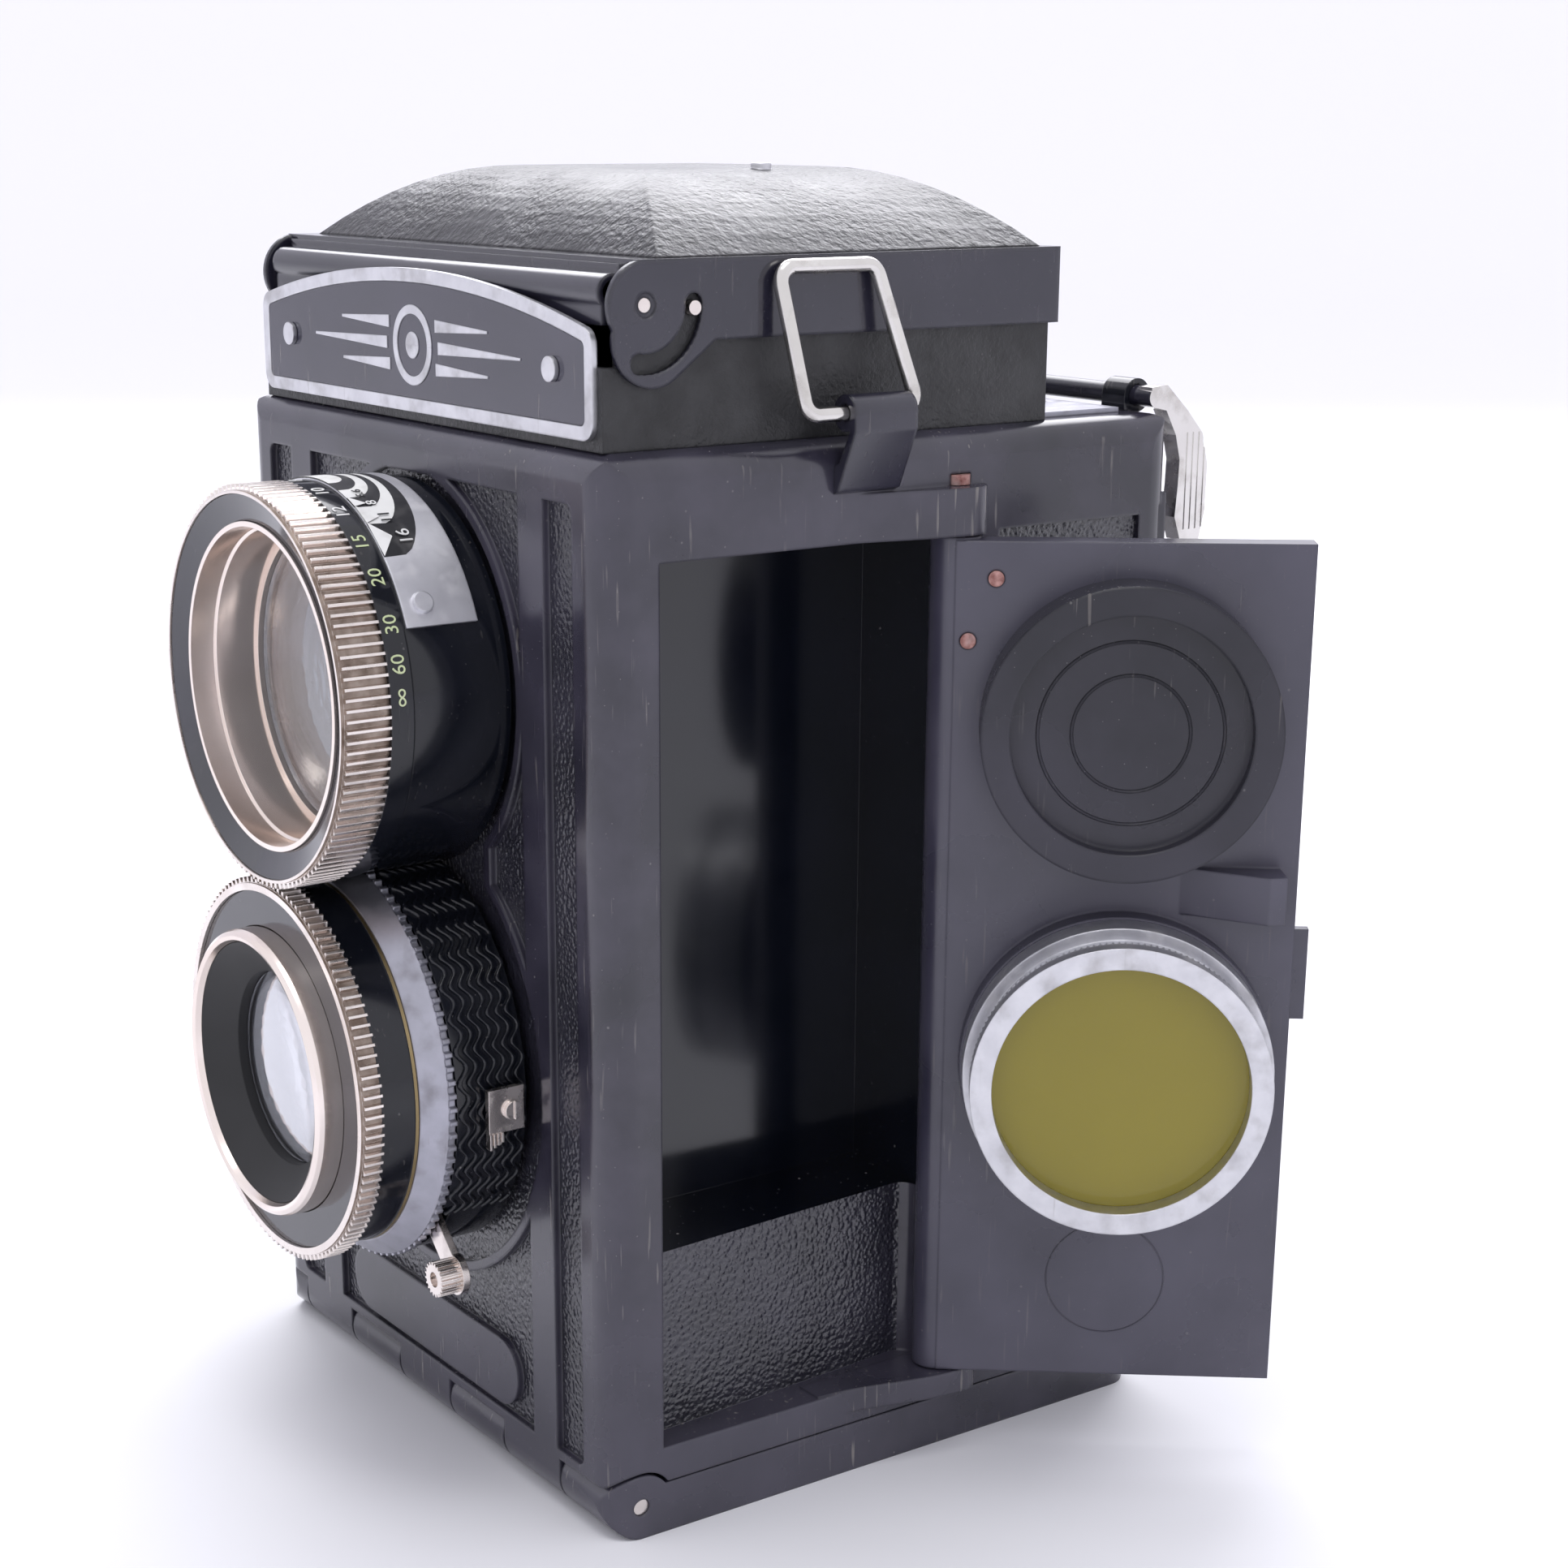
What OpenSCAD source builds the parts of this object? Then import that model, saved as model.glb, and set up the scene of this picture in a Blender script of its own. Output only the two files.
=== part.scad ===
// Twin lens reflex camera for 120 roll film, moulded bakelite body.
// Frame: +X is the accessory door side, -Y is the lens side, +Z is up.
// Origin: middle of the base plane, under the optical axis.

/* [Body] */
// Width of the moulded body
body_w = 84; // [83.6:0.2:85]
// Depth of the moulded body with its back cover
body_d = 80.5; // [80:0.5:84]
// Height of the top deck above the base
deck_h = 124.3; // [124:0.1:124.4]
// Radius of the upright corners
corner_r = 4; // [2:0.5:5]
// Radius of the rounded top edges
edge_r = 3; // [1.5:0.5:4]
// Height of the seam between body and bottom cover
seam_h = 6.2; // [5.5:0.1:7]

/* [Lenses] */
// Height of the viewing lens axis
view_h = 95.7; // [95.5:0.1:96.5]
// Height of the taking lens axis
take_h = 50.1; // [49:0.1:50.1]
// Outer radius of both focusing rings
ring_r = 22.95; // [22.8:0.05:23]
// Number of teeth on each focusing ring
ring_teeth = 124; // [80:2:124]
// Depth of the teeth on the rings
tooth_d = 0.6; // [0.4:0.1:0.7]

/* [Accessory door] */
// Angle that the door stands open
door_open = 141.7; // [90:1:150]
// Thickness of the door
door_t = 3.4; // [2.6:0.1:3.4]
// Radius of the stored lens cap
cap_r = 16.9; // [16:0.1:17]
// Radius of the stored filter
filter_r = 17.2; // [16.8:0.1:17.4]

/* [Hood] */
// Half width of the hood base
hood_w = 39.2; // [38.8:0.1:39.2]
// Rise of the domed lid above its edge
dome_h = 8.5; // [6:0.5:9]

/* [Hidden] */
$fn = 144;
eps = 0.02;
hx = body_w / 2;
fy = -body_d / 2;
by = body_d / 2;
wall = 2.4;
inner_y = fy + wall;
back_t = 1.95;
seam_y = by - back_t;
seam_gap = 0.2;
fit = 0.05;

// back and bottom cover hinge along the front bottom edge
hinge_r = 3.95;
hinge_y = fy + hinge_r;
hinge_z = hinge_r;
hinge_pin_r = 1.0;
knuckles = [-35.3, -22.2, -9.0, 4.1, 17.3, 30.4];
knuckle_gap = 0.15;
cover_top = 113.5;
cover_notch = [36.4, 104.8];

// accessory door and its compartment
door_pin = [hx - 0.6, 7.2];
door_pin_r = 1.1;
barrel_r = 2.9;
door_in = barrel_r + 0.1;
door_len = 40.1;
door_z0 = 11.1;
door_z1 = 112.3;
recess_z0 = 10.7;
recess_z1 = 112.8;
recess_y0 = -33.3;
recess_x = door_pin[0] - door_in - 0.2;
store_x = 24.5;
store_y1 = 7.0;
store_z0 = 33.0;
// how far the panel under the compartment leans inward at its rear
panel_lean = 2.4;
lug_top = 118.2;
lug_low = 7.9;
store_u = 20.0;
cap_z = 91.4;
filter_z = 51.4;
filter_boss_r = 18.2;

// inner chambers
film_x = 33.4;
film_y0 = 9.5;
cone_x = 22.4;
spool_z1 = 31;
spool_y0 = -17.5;
mirror_c = 100.7;
mirror_drop = 2.8;
left_plate_t = 1.6;

// film transport
take_up = [25.3, 99.9];
supply = [-3.5, 17.6];
spool_r = 12.6;
spool_half = 32.7;
core_r = 5.5;
film_y = 28.6;
gate_half = 28;
roller_r = 2.0;
roller_dz = 33.4;
stud_r = 1.85;

// hood
hood_y0 = -38.4;
hood_y1 = 21.8;
hood_z1 = 140.4;
lid_x = 40;
lid_y1 = 22.6;
lid_z0 = 135.4;
lid_z1 = 143.8;
lid_t = 0.7;
lid_pivot = [-33.5, 139.2];
slot_r = 6;
dome_x0 = 38.3;
dome_x1 = 13.1;
dome_y = [-31, 21, -16.6, 9];
slot_pin_at = [lid_pivot[0] + slot_r * cos(4), lid_pivot[1] - slot_r * sin(4)];
roll_at = [lid_pivot[0] - 2.5, lid_pivot[1] + 1.3];
roll_r = 1.9;
wing_hinge = [37.4, 137.0];
plate_y = -39.1;

// lens stack, from front to back
view_front = -61.1;
view_rear = -55.3;
band_rear = -52.5;
take_front = -60.5;
take_rear = -57.9;
disc_front = -53.0;
disc_rear = -49.5;
house_front = -49.3;
panel_y = fy + 0.9;

// strap loops
bail_x = 43.9;
bail_z = 127.3;
bail_r = 0.85;
bracket_y = [-10.6, -2.2];

// latch on the rear edge of the deck
latch = [39.0, 126.0];

// ---- shared shapes -------------------------------------------------------

module rounded_rect(x0, y0, x1, y1, r) {
    translate([x0 + r, y0]) square([x1 - x0 - 2 * r, y1 - y0]);
    translate([x0, y0 + r]) square([x1 - x0, y1 - y0 - 2 * r]);
    for (x = [x0 + r, x1 - r], y = [y0 + r, y1 - r]) translate([x, y]) circle(r);
}

// a box given by its two corners
module block(a, b) {
    translate(a) cube(b - a);
}

// outline in the YZ plane, extruded along X
module along_x(x0, x1) {
    translate([x0, 0, 0]) rotate([90, 0, 90]) linear_extrude(x1 - x0) children();
}

// outline in the XZ plane, extruded along Y
module along_y(y0, y1) {
    translate([0, y1, 0]) rotate([90, 0, 0]) linear_extrude(y1 - y0) children();
}

// round bar along Y, centred on x, z
module bar_y(x, z, y0, y1, r) {
    translate([x, y1, z]) rotate([90, 0, 0]) cylinder(h = y1 - y0, r = r);
}

// round bar along X, centred on y, z
module bar_x(y, z, x0, x1, r) {
    translate([x0, y, z]) rotate([0, 90, 0]) cylinder(h = x1 - x0, r = r);
}

module ring_y(z, y0, y1, ro, ri) {
    difference() {
        bar_y(0, z, y0, y1, ro);
        bar_y(0, z, y0 - 1, y1 + 1, ri);
    }
}

// turned solid about an axis along Y: outline points are [radius, y]
module turned_y(z, outline) {
    translate([0, 0, z]) rotate([-90, 0, 0]) rotate_extrude() polygon(outline);
}

// toothed outline, four corners to a tooth, first tooth centred at angle a0
function teeth(n, r, d, a0 = 0) = [
    for (i = [0 : n - 1], q = [[-0.14, r], [0.14, r], [0.28, r - d], [0.72, r - d]])
        let (a = a0 + (i + q[0]) * 360 / n) [q[1] * cos(a), q[1] * sin(a)]
];

// ---- body ----------------------------------------------------------------

// the body's outer form, open at the seam
module body_form() {
    intersection() {
        translate([0, 0, seam_h + seam_gap])
            linear_extrude(deck_h) rounded_rect(-hx, fy, hx, by, corner_r);
        along_x(-hx, hx) rounded_rect(fy, -20, by, deck_h, edge_r);
        along_y(fy, by) rounded_rect(-hx, -20, hx, deck_h, edge_r);
    }
}

// hinge lug: a round end that flares smoothly out of the side wall
module lug(z0, z1, end, r) {
    steps = 14;
    root = [hx - 0.3, -11];
    reach = [end[0] + r - root[0], end[1] - root[1]];
    translate([0, 0, z0]) linear_extrude(z1 - z0) {
        translate(end) circle(r);
        polygon(concat(
            [[hx - 4, root[1]]],
            [for (t = [0 : 1 / steps : 1])
                [root[0] + reach[0] * (1 - cos(180 * t)) / 2, root[1] + reach[1] * t]],
            [[end[0], end[1] + r], [hx - 4, end[1] + r]]
        ));
    }
}

// spans of X that belong to the cover's knuckles; the body has the spans between
cover_spans = [
    [-hx, knuckles[0]], [knuckles[1], knuckles[2]], [knuckles[3], knuckles[4]], [knuckles[5], hx]
];
body_spans = [
    [knuckles[0], knuckles[1]], [knuckles[2], knuckles[3]], [knuckles[4], knuckles[5]]
];

module body_knuckles() {
    for (s = body_spans) {
        bar_x(hinge_y, hinge_z, s[0] + knuckle_gap, s[1] - knuckle_gap, hinge_r);
        block([s[0] + knuckle_gap, fy, hinge_z], [s[1] - knuckle_gap, hinge_y, seam_h + 1]);
    }
}

// moulded pads and strips standing on the recessed front panel
module front_relief() {
    strip = [24.6, 29.8];
    along_y(fy, panel_y + eps) {
        difference() {
            union() {
                translate([0, view_h]) circle(24.8);
                translate([0, take_h]) circle(28.8);
                translate([-17, take_h]) square([34, view_h - take_h]);
            }
            translate([0, view_h]) circle(23.6);
            translate([0, take_h]) circle(27.6);
            translate([-15.5, take_h + 20]) square([31, 8]);
        }
        for (s = [-1, 1]) difference() {
            translate([s > 0 ? strip[0] : -strip[1], 5]) square([strip[1] - strip[0], 115]);
            translate([0, take_h]) circle(28.8);
            translate([0, view_h]) circle(24.8);
        }
        rounded_rect(-20.9, 8.4, 20.9, 16.9, 4.2);
    }
}

module front_panel() {
    difference() {
        along_y(fy - 1, panel_y) rounded_rect(-35.7, 7.6, 35.7, 118.8, 1.2);
        front_relief();
    }
}

module chambers() {
    // film chamber with the take-up spool, open to the rear
    along_x(-film_x, film_x) polygon([
        [film_y0, seam_h], [seam_y, seam_h], [seam_y, cover_top],
        [20.8, cover_top], [film_y0, mirror_c - 8 + film_y0]
    ]);
    // supply spool chamber, open below
    block([-film_x, spool_y0, seam_h], [film_x, film_y0 + 0.1, spool_z1]);
    // light chamber behind the taking lens
    block([-cone_x, inner_y, spool_z1 + 2.2], [cone_x, film_y0 + 0.1, 76]);
    // mirror chamber, open to the screen
    along_x(-cone_x, cone_x) polygon([
        [inner_y, 78.6], [78.6 - mirror_c + mirror_drop, 78.6], [18.8, mirror_c + 16],
        [18.8, deck_h + 1], [-32, deck_h + 1], [-32, 116], [inner_y, 113.4]
    ]);
    // seat of the focusing screen
    block([-30, -33, deck_h - 3.4], [30, 19.6, deck_h + 1]);
    // counter space behind the left plate
    block([-hx - 1, inner_y + 1, store_z0], [-store_x, store_y1, 112.6]);
    block([-hx - 1, -35.5, recess_z0], [-hx + left_plate_t, film_y0, recess_z1]);
}

module door_space() {
    block([recess_x, recess_y0, recess_z0], [hx + 5, door_pin[1], recess_z1]);
    translate([door_pin[0], door_pin[1], recess_z0]) {
        cylinder(h = recess_z1 - recess_z0, r = barrel_r + 0.4);
        translate([0, -barrel_r, 0])
            cube([5, 2 * barrel_r + 0.4, recess_z1 - recess_z0]);
    }
    block([store_x, recess_y0, store_z0], [hx, store_y1, recess_z1]);
    // leaning panel, with a round inner corner beside the hinge
    translate([0, 0, recess_z0]) linear_extrude(store_z0 - recess_z0 + 1) {
        polygon([
            [recess_x + 0.1, recess_y0], [recess_x, recess_y0], [recess_x - panel_lean, 4.4],
            [recess_x + 0.1, 4.4]
        ]);
        translate([recess_x - panel_lean + 2, 4.4]) circle(2);
    }
    // pocket for the catch in the front wall
    block([recess_x - 5, recess_y0 - 2.2, 66], [recess_x, recess_y0 + 1, 80]);
}

module body_bores() {
    along = [-hx - 1, hx + 1];
    bar_x(hinge_y, hinge_z, along[0], along[1], hinge_pin_r + fit);
    translate([door_pin[0], door_pin[1], 0]) cylinder(h = lug_top + 0.1, r = door_pin_r + fit);
    // pocket round the head of the door pin
    translate([door_pin[0], door_pin[1], lug_top]) cylinder(h = 1.3, r = 1.55);
    bar_y(0, take_h, fy - 1, inner_y + 1, 15.5);
    bar_y(0, view_h, fy - 1, inner_y + 1, 18.6);
    bar_x(take_up[0], take_up[1], -hx - 1, -film_x + 1, 3.05);
    bar_x(supply[0], supply[1], -hx - 1, -film_x + 1, 3.05);
    // seats of the roller axles
    for (z = [take_h - roller_dz, take_h + roller_dz])
        bar_x(film_y - roller_r, z, -film_x - 1.4, film_x + 1.4, 0.85);
}

module body_shell() {
    color("#26262b") difference() {
        union() {
            difference() {
                body_form();
                // rear opening for the back cover
                block([-hx - 1, seam_y - seam_gap, -1], [hx + 1, by + 1, cover_top + seam_gap]);
                chambers();
                front_panel();
                door_space();
                // clearance round the cover's knuckles
                for (s = cover_spans)
                    bar_x(hinge_y, hinge_z, s[0] - knuckle_gap, s[1] + knuckle_gap, hinge_r + 0.4);
                // textured panels low on the right side and behind the hinge
                block([hx - 0.5, 13.2, recess_z0], [hx + 1, 34.5, recess_z1]);
                block([-hx - 1, 13.2, recess_z0], [-hx + 0.5, 34.5, 84]);
                // notch beside the latch lever
                block([-hx - 1, by - 0.6, 118], [36, by + 1, deck_h + 1]);
            }
            body_knuckles();
            lug(recess_z1, lug_top, [41.6, 7.6], 3.0);
            lug(lug_low, door_z0 - 0.2, [41.9, 8.6], 3.4);
            // corner behind the latch lever, which the cover leaves out
            block([cover_notch[0] + 0.2, seam_y - 2, cover_notch[1] + 0.2], [hx - 1, by - 0.5, 115]);
            // studs that carry the right ends of the spools
            for (p = [take_up, supply])
                bar_x(p[0], p[1], spool_half - 1.4, film_x + 1, stud_r);
        }
        body_bores();
    }
}

module left_side_plate() {
    color("#2b2b30") difference() {
        block([-hx, -35.4, recess_z0 + 0.1], [-hx + left_plate_t, film_y0 - 0.1, recess_z1 - 0.1]);
        bar_x(supply[0], supply[1], -hx - 1, -hx + 4, 6.6);
        bar_x(-14, 98, -hx - 1, -hx + 4, 2.6);
    }
}

// ---- name plate ----------------------------------------------------------

plate_border = 1.5;

// arched plate, inset by m from its edge, with rounded corners
module plate_outline(m) {
    arch_r = 158;
    c = 2.0 - min(m, 1.2);
    x = 38.3 - m;
    low = 125.4 + m;
    corner = 141.4 - m - arch_r + sqrt(pow(arch_r - c, 2) - pow(x - c, 2));
    difference() {
        union() {
            translate([-x, low + c]) square([2 * x, corner - low - c]);
            translate([-x + c, low]) square([2 * x - 2 * c, 18]);
            for (s = [-1, 1], z = [low + c, corner]) translate([s * (x - c), z]) circle(c);
        }
        difference() {
            translate([-60, 120]) square([120, 60]);
            translate([0, 141.4 - m - arch_r]) circle(arch_r, $fn = 360);
        }
    }
}

module nameplate() {
    color("#c9c9cc") difference() {
        along_y(plate_y, hood_y0) plate_outline(0);
        along_y(plate_y - 1, plate_y + 0.25) plate_outline(plate_border);
        for (x = [-30.5, 30.5]) bar_y(x, 132.4, plate_y - 1, plate_y + 2, 0.75);
    }
}

module nameplate_field() {
    color("#30303c") difference() {
        along_y(plate_y + 0.05, plate_y + 0.25) plate_outline(plate_border + 0.05);
        for (x = [-30.5, 30.5]) bar_y(x, 132.4, plate_y - 1, plate_y + 2, 0.75);
    }
}

module nameplate_rivets() {
    color("#d0d0d0") for (x = [-30.5, 30.5]) {
        bar_y(x, 132.4, plate_y, -37.5, 0.7);
        bar_y(x, 132.4, plate_y - 0.55, plate_y, 1.35);
    }
}

// ---- viewing lens --------------------------------------------------------

module viewing_barrel() {
    color("#1b1b1f") {
        difference() {
            bar_y(0, view_h, band_rear + 0.15, fy, 22.6);
            bar_y(0, view_h, -60, -47.2, 19.3);
            bar_y(0, view_h, -60, -30, 18.5);
            // hollow where the shutter housing passes below
            bar_y(0, take_h, -60, -30, 24.9);
        }
        ring_y(view_h, fy - 0.5, inner_y, 18.55, 17.2);
    }
}

module depth_scale_plate() {
    color("#c4c6c8") intersection() {
        ring_y(view_h, band_rear + 0.3, -43.4, 23.0, 22.6);
        along_y(-60, -40) translate([0, view_h])
            polygon([[0, 0], [30, 13], [30, 40], [-30, 40], [-30, 13]]);
    }
    color("#c4c6c8") for (a = [30, 150]) translate([0, 0, view_h]) rotate([0, -a, 0])
        translate([22.75, -49.6, 0]) rotate([0, 90, 0]) cylinder(h = 0.7, r = 1.2);
}

// toothed outer band of a focusing ring
module toothed_band(z, y0, y1, ri, a0) {
    difference() {
        along_y(y0, y1) translate([0, z]) polygon(teeth(ring_teeth, ring_r, tooth_d, a0));
        bar_y(0, z, y0 - 1, y1 + 1, ri);
    }
}

module viewing_focus_ring() {
    color("#b9b2a8") {
        toothed_band(view_h, view_front + 0.4, view_rear, 21.9, -90);
        ring_y(view_h, view_front, view_front + 0.41, ring_r - 0.7, 21.9);
    }
}

module distance_band() {
    color("#17171a") ring_y(view_h, view_rear, band_rear, ring_r - 0.1, 20.5);
}

module viewing_bezel() {
    color("#26262a") turned_y(view_h, [
        [21.85, view_front + 0.25], [21.85, view_rear], [18.8, view_rear],
        [18.8, view_front + 1.35]
    ]);
}

module viewing_lens_cell() {
    color("#bdb7b0") turned_y(view_h, [
        [18.75, view_front + 1.0], [18.75, view_rear + 0.05], [19.25, view_rear + 0.05],
        [19.25, -47.6], [17.1, -47.6], [17.1, -51.9], [17.7, -51.9], [17.7, -57.0],
        [18.05, -57.2], [18.15, view_front + 1.0]
    ]);
}

// depth of a spherical face at radius x, for a face of rim radius r and height h
function sag(x, r, h) = let (R = (r * r + h * h) / (2 * h)) sqrt(R * R - x * x) - (R - h);

// lens element, t thick at the rim, with spherical faces in front and behind
module element(z, y, r, t, front, rear) {
    n = 10;
    turned_y(z, concat(
        front > 0 ? [for (i = [0 : n]) [r * i / n, y - sag(r * i / n, r, front)]]
            : [[0, y], [r, y]],
        rear > 0 ? [for (i = [n : -1 : 0]) [r * i / n, y + t + sag(r * i / n, r, rear)]]
            : [[r, y + t], [0, y + t]]
    ));
}

module viewing_front_element() {
    color("#aab4c4") element(view_h, -51.2, 17.05, 3.4, 2.2, 0);
}

module viewing_rear_element() {
    color("#aab4c4") element(view_h, -45, 15.5, 2.4, 0, 1.2);
    color("#1b1b1f") ring_y(view_h, -45.6, -42, 18.45, 15.5);
}

// ---- taking lens and shutter ---------------------------------------------

module taking_focus_ring() {
    color("#b9b2a8") {
        toothed_band(take_h, take_front + 0.3, take_rear, 21.4, 90 + 180 / ring_teeth);
        ring_y(take_h, take_front, take_front + 0.31, ring_r - 0.7, 21.4);
    }
}

module taking_name_ring() {
    color("#2a2a30") ring_y(take_h, take_front + 0.5, take_rear, 21.35, 17.2);
}

module taking_filter_rim() {
    color("#bdb5ac") turned_y(take_h, [
        [16.4, -63.3], [16.9, -62.9], [17.1, -62.4], [17.1, take_rear],
        [15.6, take_rear], [15.6, -62.4], [15.9, -63.1]
    ]);
}

module taking_inner_cone() {
    color("#1f1f24") turned_y(take_h, [
        [15.55, -62.4], [15.55, take_rear], [11.65, take_rear], [11.65, -59.4]
    ]);
}

module taking_front_element() {
    color("#c6cbe0") element(take_h, -58.2, 11.55, 2.6, 1.9, 0);
}

module taking_barrel() {
    color("#17171b") {
        ring_y(take_h, take_rear, disc_front - 0.45, 21.9, 11.6);
    }
    color("#8a744a") ring_y(take_h, disc_front - 0.45, disc_front - 0.05, 22.05, 12);
}

module speed_ring() {
    color("#b4bac6") difference() {
        union() {
            turned_y(take_h, [
                [0, disc_front], [22.2, disc_front], [24.3, disc_rear - 1], [24.3, disc_rear - 0.9],
                [0, disc_rear - 0.9]
            ]);
            along_y(disc_rear - 0.9, disc_rear) translate([0, take_h])
                polygon(teeth(96, 24.6, 0.5));
        }
        bar_y(0, take_h, -60, -40, 15 + fit);
    }
}

// wedge between two angles, wider than anything it cuts
module sector(a0, a1) {
    polygon(concat([[0, 0]], [for (a = [a0 : 4.5 : a1]) [30 * cos(a), 30 * sin(a)]]));
}

module shutter_housing() {
    color("#1a1a1e") difference() {
        union() {
            bar_y(0, take_h, house_front, fy, 24.2);
            bar_y(0, take_h, -52.8, house_front + 1, 15);
            bar_y(0, take_h, fy - 1, inner_y, 15.4);
        }
        bar_y(0, take_h, -60, -30, 11.5);
        bar_y(0, take_h, house_front + 2, fy + 0.4, 13);
        // annular seat of the cocking lever with the slot for its travel
        along_y(house_front - 1, house_front + 1.3) translate([0, take_h]) difference() {
            union() {
                circle(21.2);
                sector(-101, -33.5);
            }
            circle(15);
        }
    }
}

module shutter_blades() {
    color("#3a3c42") for (k = [0, 1]) for (i = [0 : 4])
        translate([0, 0, take_h]) rotate([0, i * 72 + k * 36 + 20, 0])
            along_y(-46 + k * 1.6 + i * 0.25, -45.9 + k * 1.6 + i * 0.25)
                polygon([[5.4, -4.2], [12.3, -3.4], [12.3, 3.4], [5.4, 4.2]]);
}

module taking_rear_element() {
    color("#c6cbe0") element(take_h, -40.2, 11.45, 2.2, 0, 1.6);
}

cock_a = -44;
knob_at = 30.4;

module cocking_lever() {
    color("#b9b4ae") {
        // ring that turns on the housing's nose
        ring_y(take_h, house_front + 0.2, house_front + 1.1, 21, 15 + fit);
        translate([0, 0, take_h]) rotate([0, -cock_a, 0]) {
            along_y(house_front + 0.2, house_front + 1.1) {
                translate([20.6, -1.5]) square([knob_at - 20.6, 3]);
                translate([knob_at, 0]) circle(2.4);
            }
            difference() {
                along_y(house_front - 2.4, house_front + 0.3)
                    translate([knob_at, 0]) polygon(teeth(20, 2.1, 0.3));
                bar_y(knob_at, 0, house_front - 3, house_front - 1.6, 0.9);
            }
        }
    }
}

lever_x = 24.8;

module aperture_lever() {
    color("#b5b0a8") translate([0, 0, take_h]) {
        // foot that stands beside the housing, with its slotted screw
        difference() {
            block([lever_x, -46, -3.4], [lever_x + 0.8, -41.4, 1.8]);
            translate([lever_x - 0.4, -43, -0.9]) rotate([0, 90, 0]) cylinder(h = 3, r = 0.65);
        }
        translate([lever_x, -43, -0.9]) rotate([0, 90, 0]) cylinder(h = 0.8, r = 0.6);
        difference() {
            translate([lever_x + 0.8, -43, -0.9]) rotate([0, 90, 0]) cylinder(h = 0.55, r = 1.1);
            block([lever_x + 1.1, -43.15, -3], [lever_x + 2, -42.85, 1]);
        }
        // serrated finger tab
        for (i = [0 : 3])
            block([lever_x, -46 + i * 0.5, -5.3 + i * 0.25], [lever_x + 1, -45.7 + i * 0.5, -3.4]);
        block([lever_x, -45.9, -4.9], [lever_x + 0.6, -44.3, -3.4]);
    }
}

module release_lever() {
    color("#b9b4ae") translate([0, 0, take_h]) rotate([0, -205, 0]) {
        along_y(house_front + 4.2, house_front + 5.2) {
            translate([24.6, -1.4]) square([5.2, 2.8]);
            translate([29.6, 0]) circle(2.2);
        }
        bar_y(29.6, 0, house_front + 1.6, house_front + 4.2, 1.6);
    }
}

// ---- hood ----------------------------------------------------------------

module hood_base() {
    color("#232327") difference() {
        block([-hood_w, hood_y0, deck_h], [hood_w, hood_y1, hood_z1]);
        block([-hood_w + 0.9, hood_y0 + 1, deck_h - 1], [hood_w - 0.9, hood_y1 - 0.9, hood_z1 + 1]);
        // low front wall leaves room for the lid's rolled edge
        block([-hood_w - 1, hood_y0 - 1, 133], [hood_w + 1, -36.6, hood_z1 + 1]);
        for (x = [-30.5, 30.5]) bar_y(x, 132.4, hood_y0 - 1, hood_y0 + 3, 0.75);
        for (p = [lid_pivot, slot_pin_at]) bar_x(p[0], p[1], -50, 50, 0.8);
    }
    // tabs that carry the lid pivots above the side walls
    color("#232327") for (s = [-1, 1]) difference() {
        along_x(s > 0 ? hood_w - 0.9 : -hood_w, s > 0 ? hood_w : -hood_w + 0.9)
            translate(lid_pivot) circle(2.2);
        block([-50, -50, 120], [50, 50, hood_z1]);
        bar_x(lid_pivot[0], lid_pivot[1], -50, 50, 0.8);
    }
}

module hood_pivot_pins() {
    color("#cfc8b8") for (s = [-1, 1], p = [lid_pivot, slot_pin_at]) {
        ends = [hood_w - 1.3, lid_x + (p == lid_pivot ? -0.3 : 0.25)];
        bar_x(p[0], p[1], s > 0 ? ends[0] : -ends[1], s > 0 ? ends[1] : -ends[0], 0.75);
    }
}

// rise of the dome at a fraction t of the way in from its edge
function dome_rise(t) = dome_h * (1 - (1 - t) * (1 - t));

module dome_section(a0, b0, b1, a1, drop) {
    n = 8;
    polygon(concat(
        [[a0, lid_z1 - 2]],
        [for (i = [0 : n]) [a0 + (b0 - a0) * i / n, lid_z1 + dome_rise(i / n) - drop]],
        [for (i = [0 : n]) [b1 + (a1 - b1) * i / n, lid_z1 + dome_rise(1 - i / n) - drop]],
        [[a1, lid_z1 - 2]]
    ));
}

// hipped dome: where a section across and a section along the camera meet
module dome(inset, drop) {
    intersection() {
        along_y(dome_y[0] + inset, dome_y[1] - inset)
            dome_section(-dome_x0 + inset, -dome_x1, dome_x1, dome_x0 - inset, drop);
        along_x(-dome_x0 + inset, dome_x0 - inset)
            dome_section(dome_y[0] + inset, dome_y[2], dome_y[3], dome_y[1] - inset, drop);
    }
}

// cheek outline of the lid seen from the side
module lid_side() {
    difference() {
        union() {
            translate([lid_pivot[0], lid_z0]) square([lid_y1 - lid_pivot[0], lid_z1 - lid_z0]);
            translate(lid_pivot) circle(4.6);
            translate([-32.6, 135.6]) circle(4.9);
            polygon([[-33, 131.5], [-29.4, 131.9], [-24.6, lid_z0 + 0.1], [-33, lid_z0 + 4]]);
        }
        // arc slot that stops the lid when it stands upright
        translate(lid_pivot) for (a = [-98 : 7 : 0]) rotate(a) translate([slot_r, 0]) circle(1.1);
        translate(lid_pivot) circle(0.75 + fit);
    }
}

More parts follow.
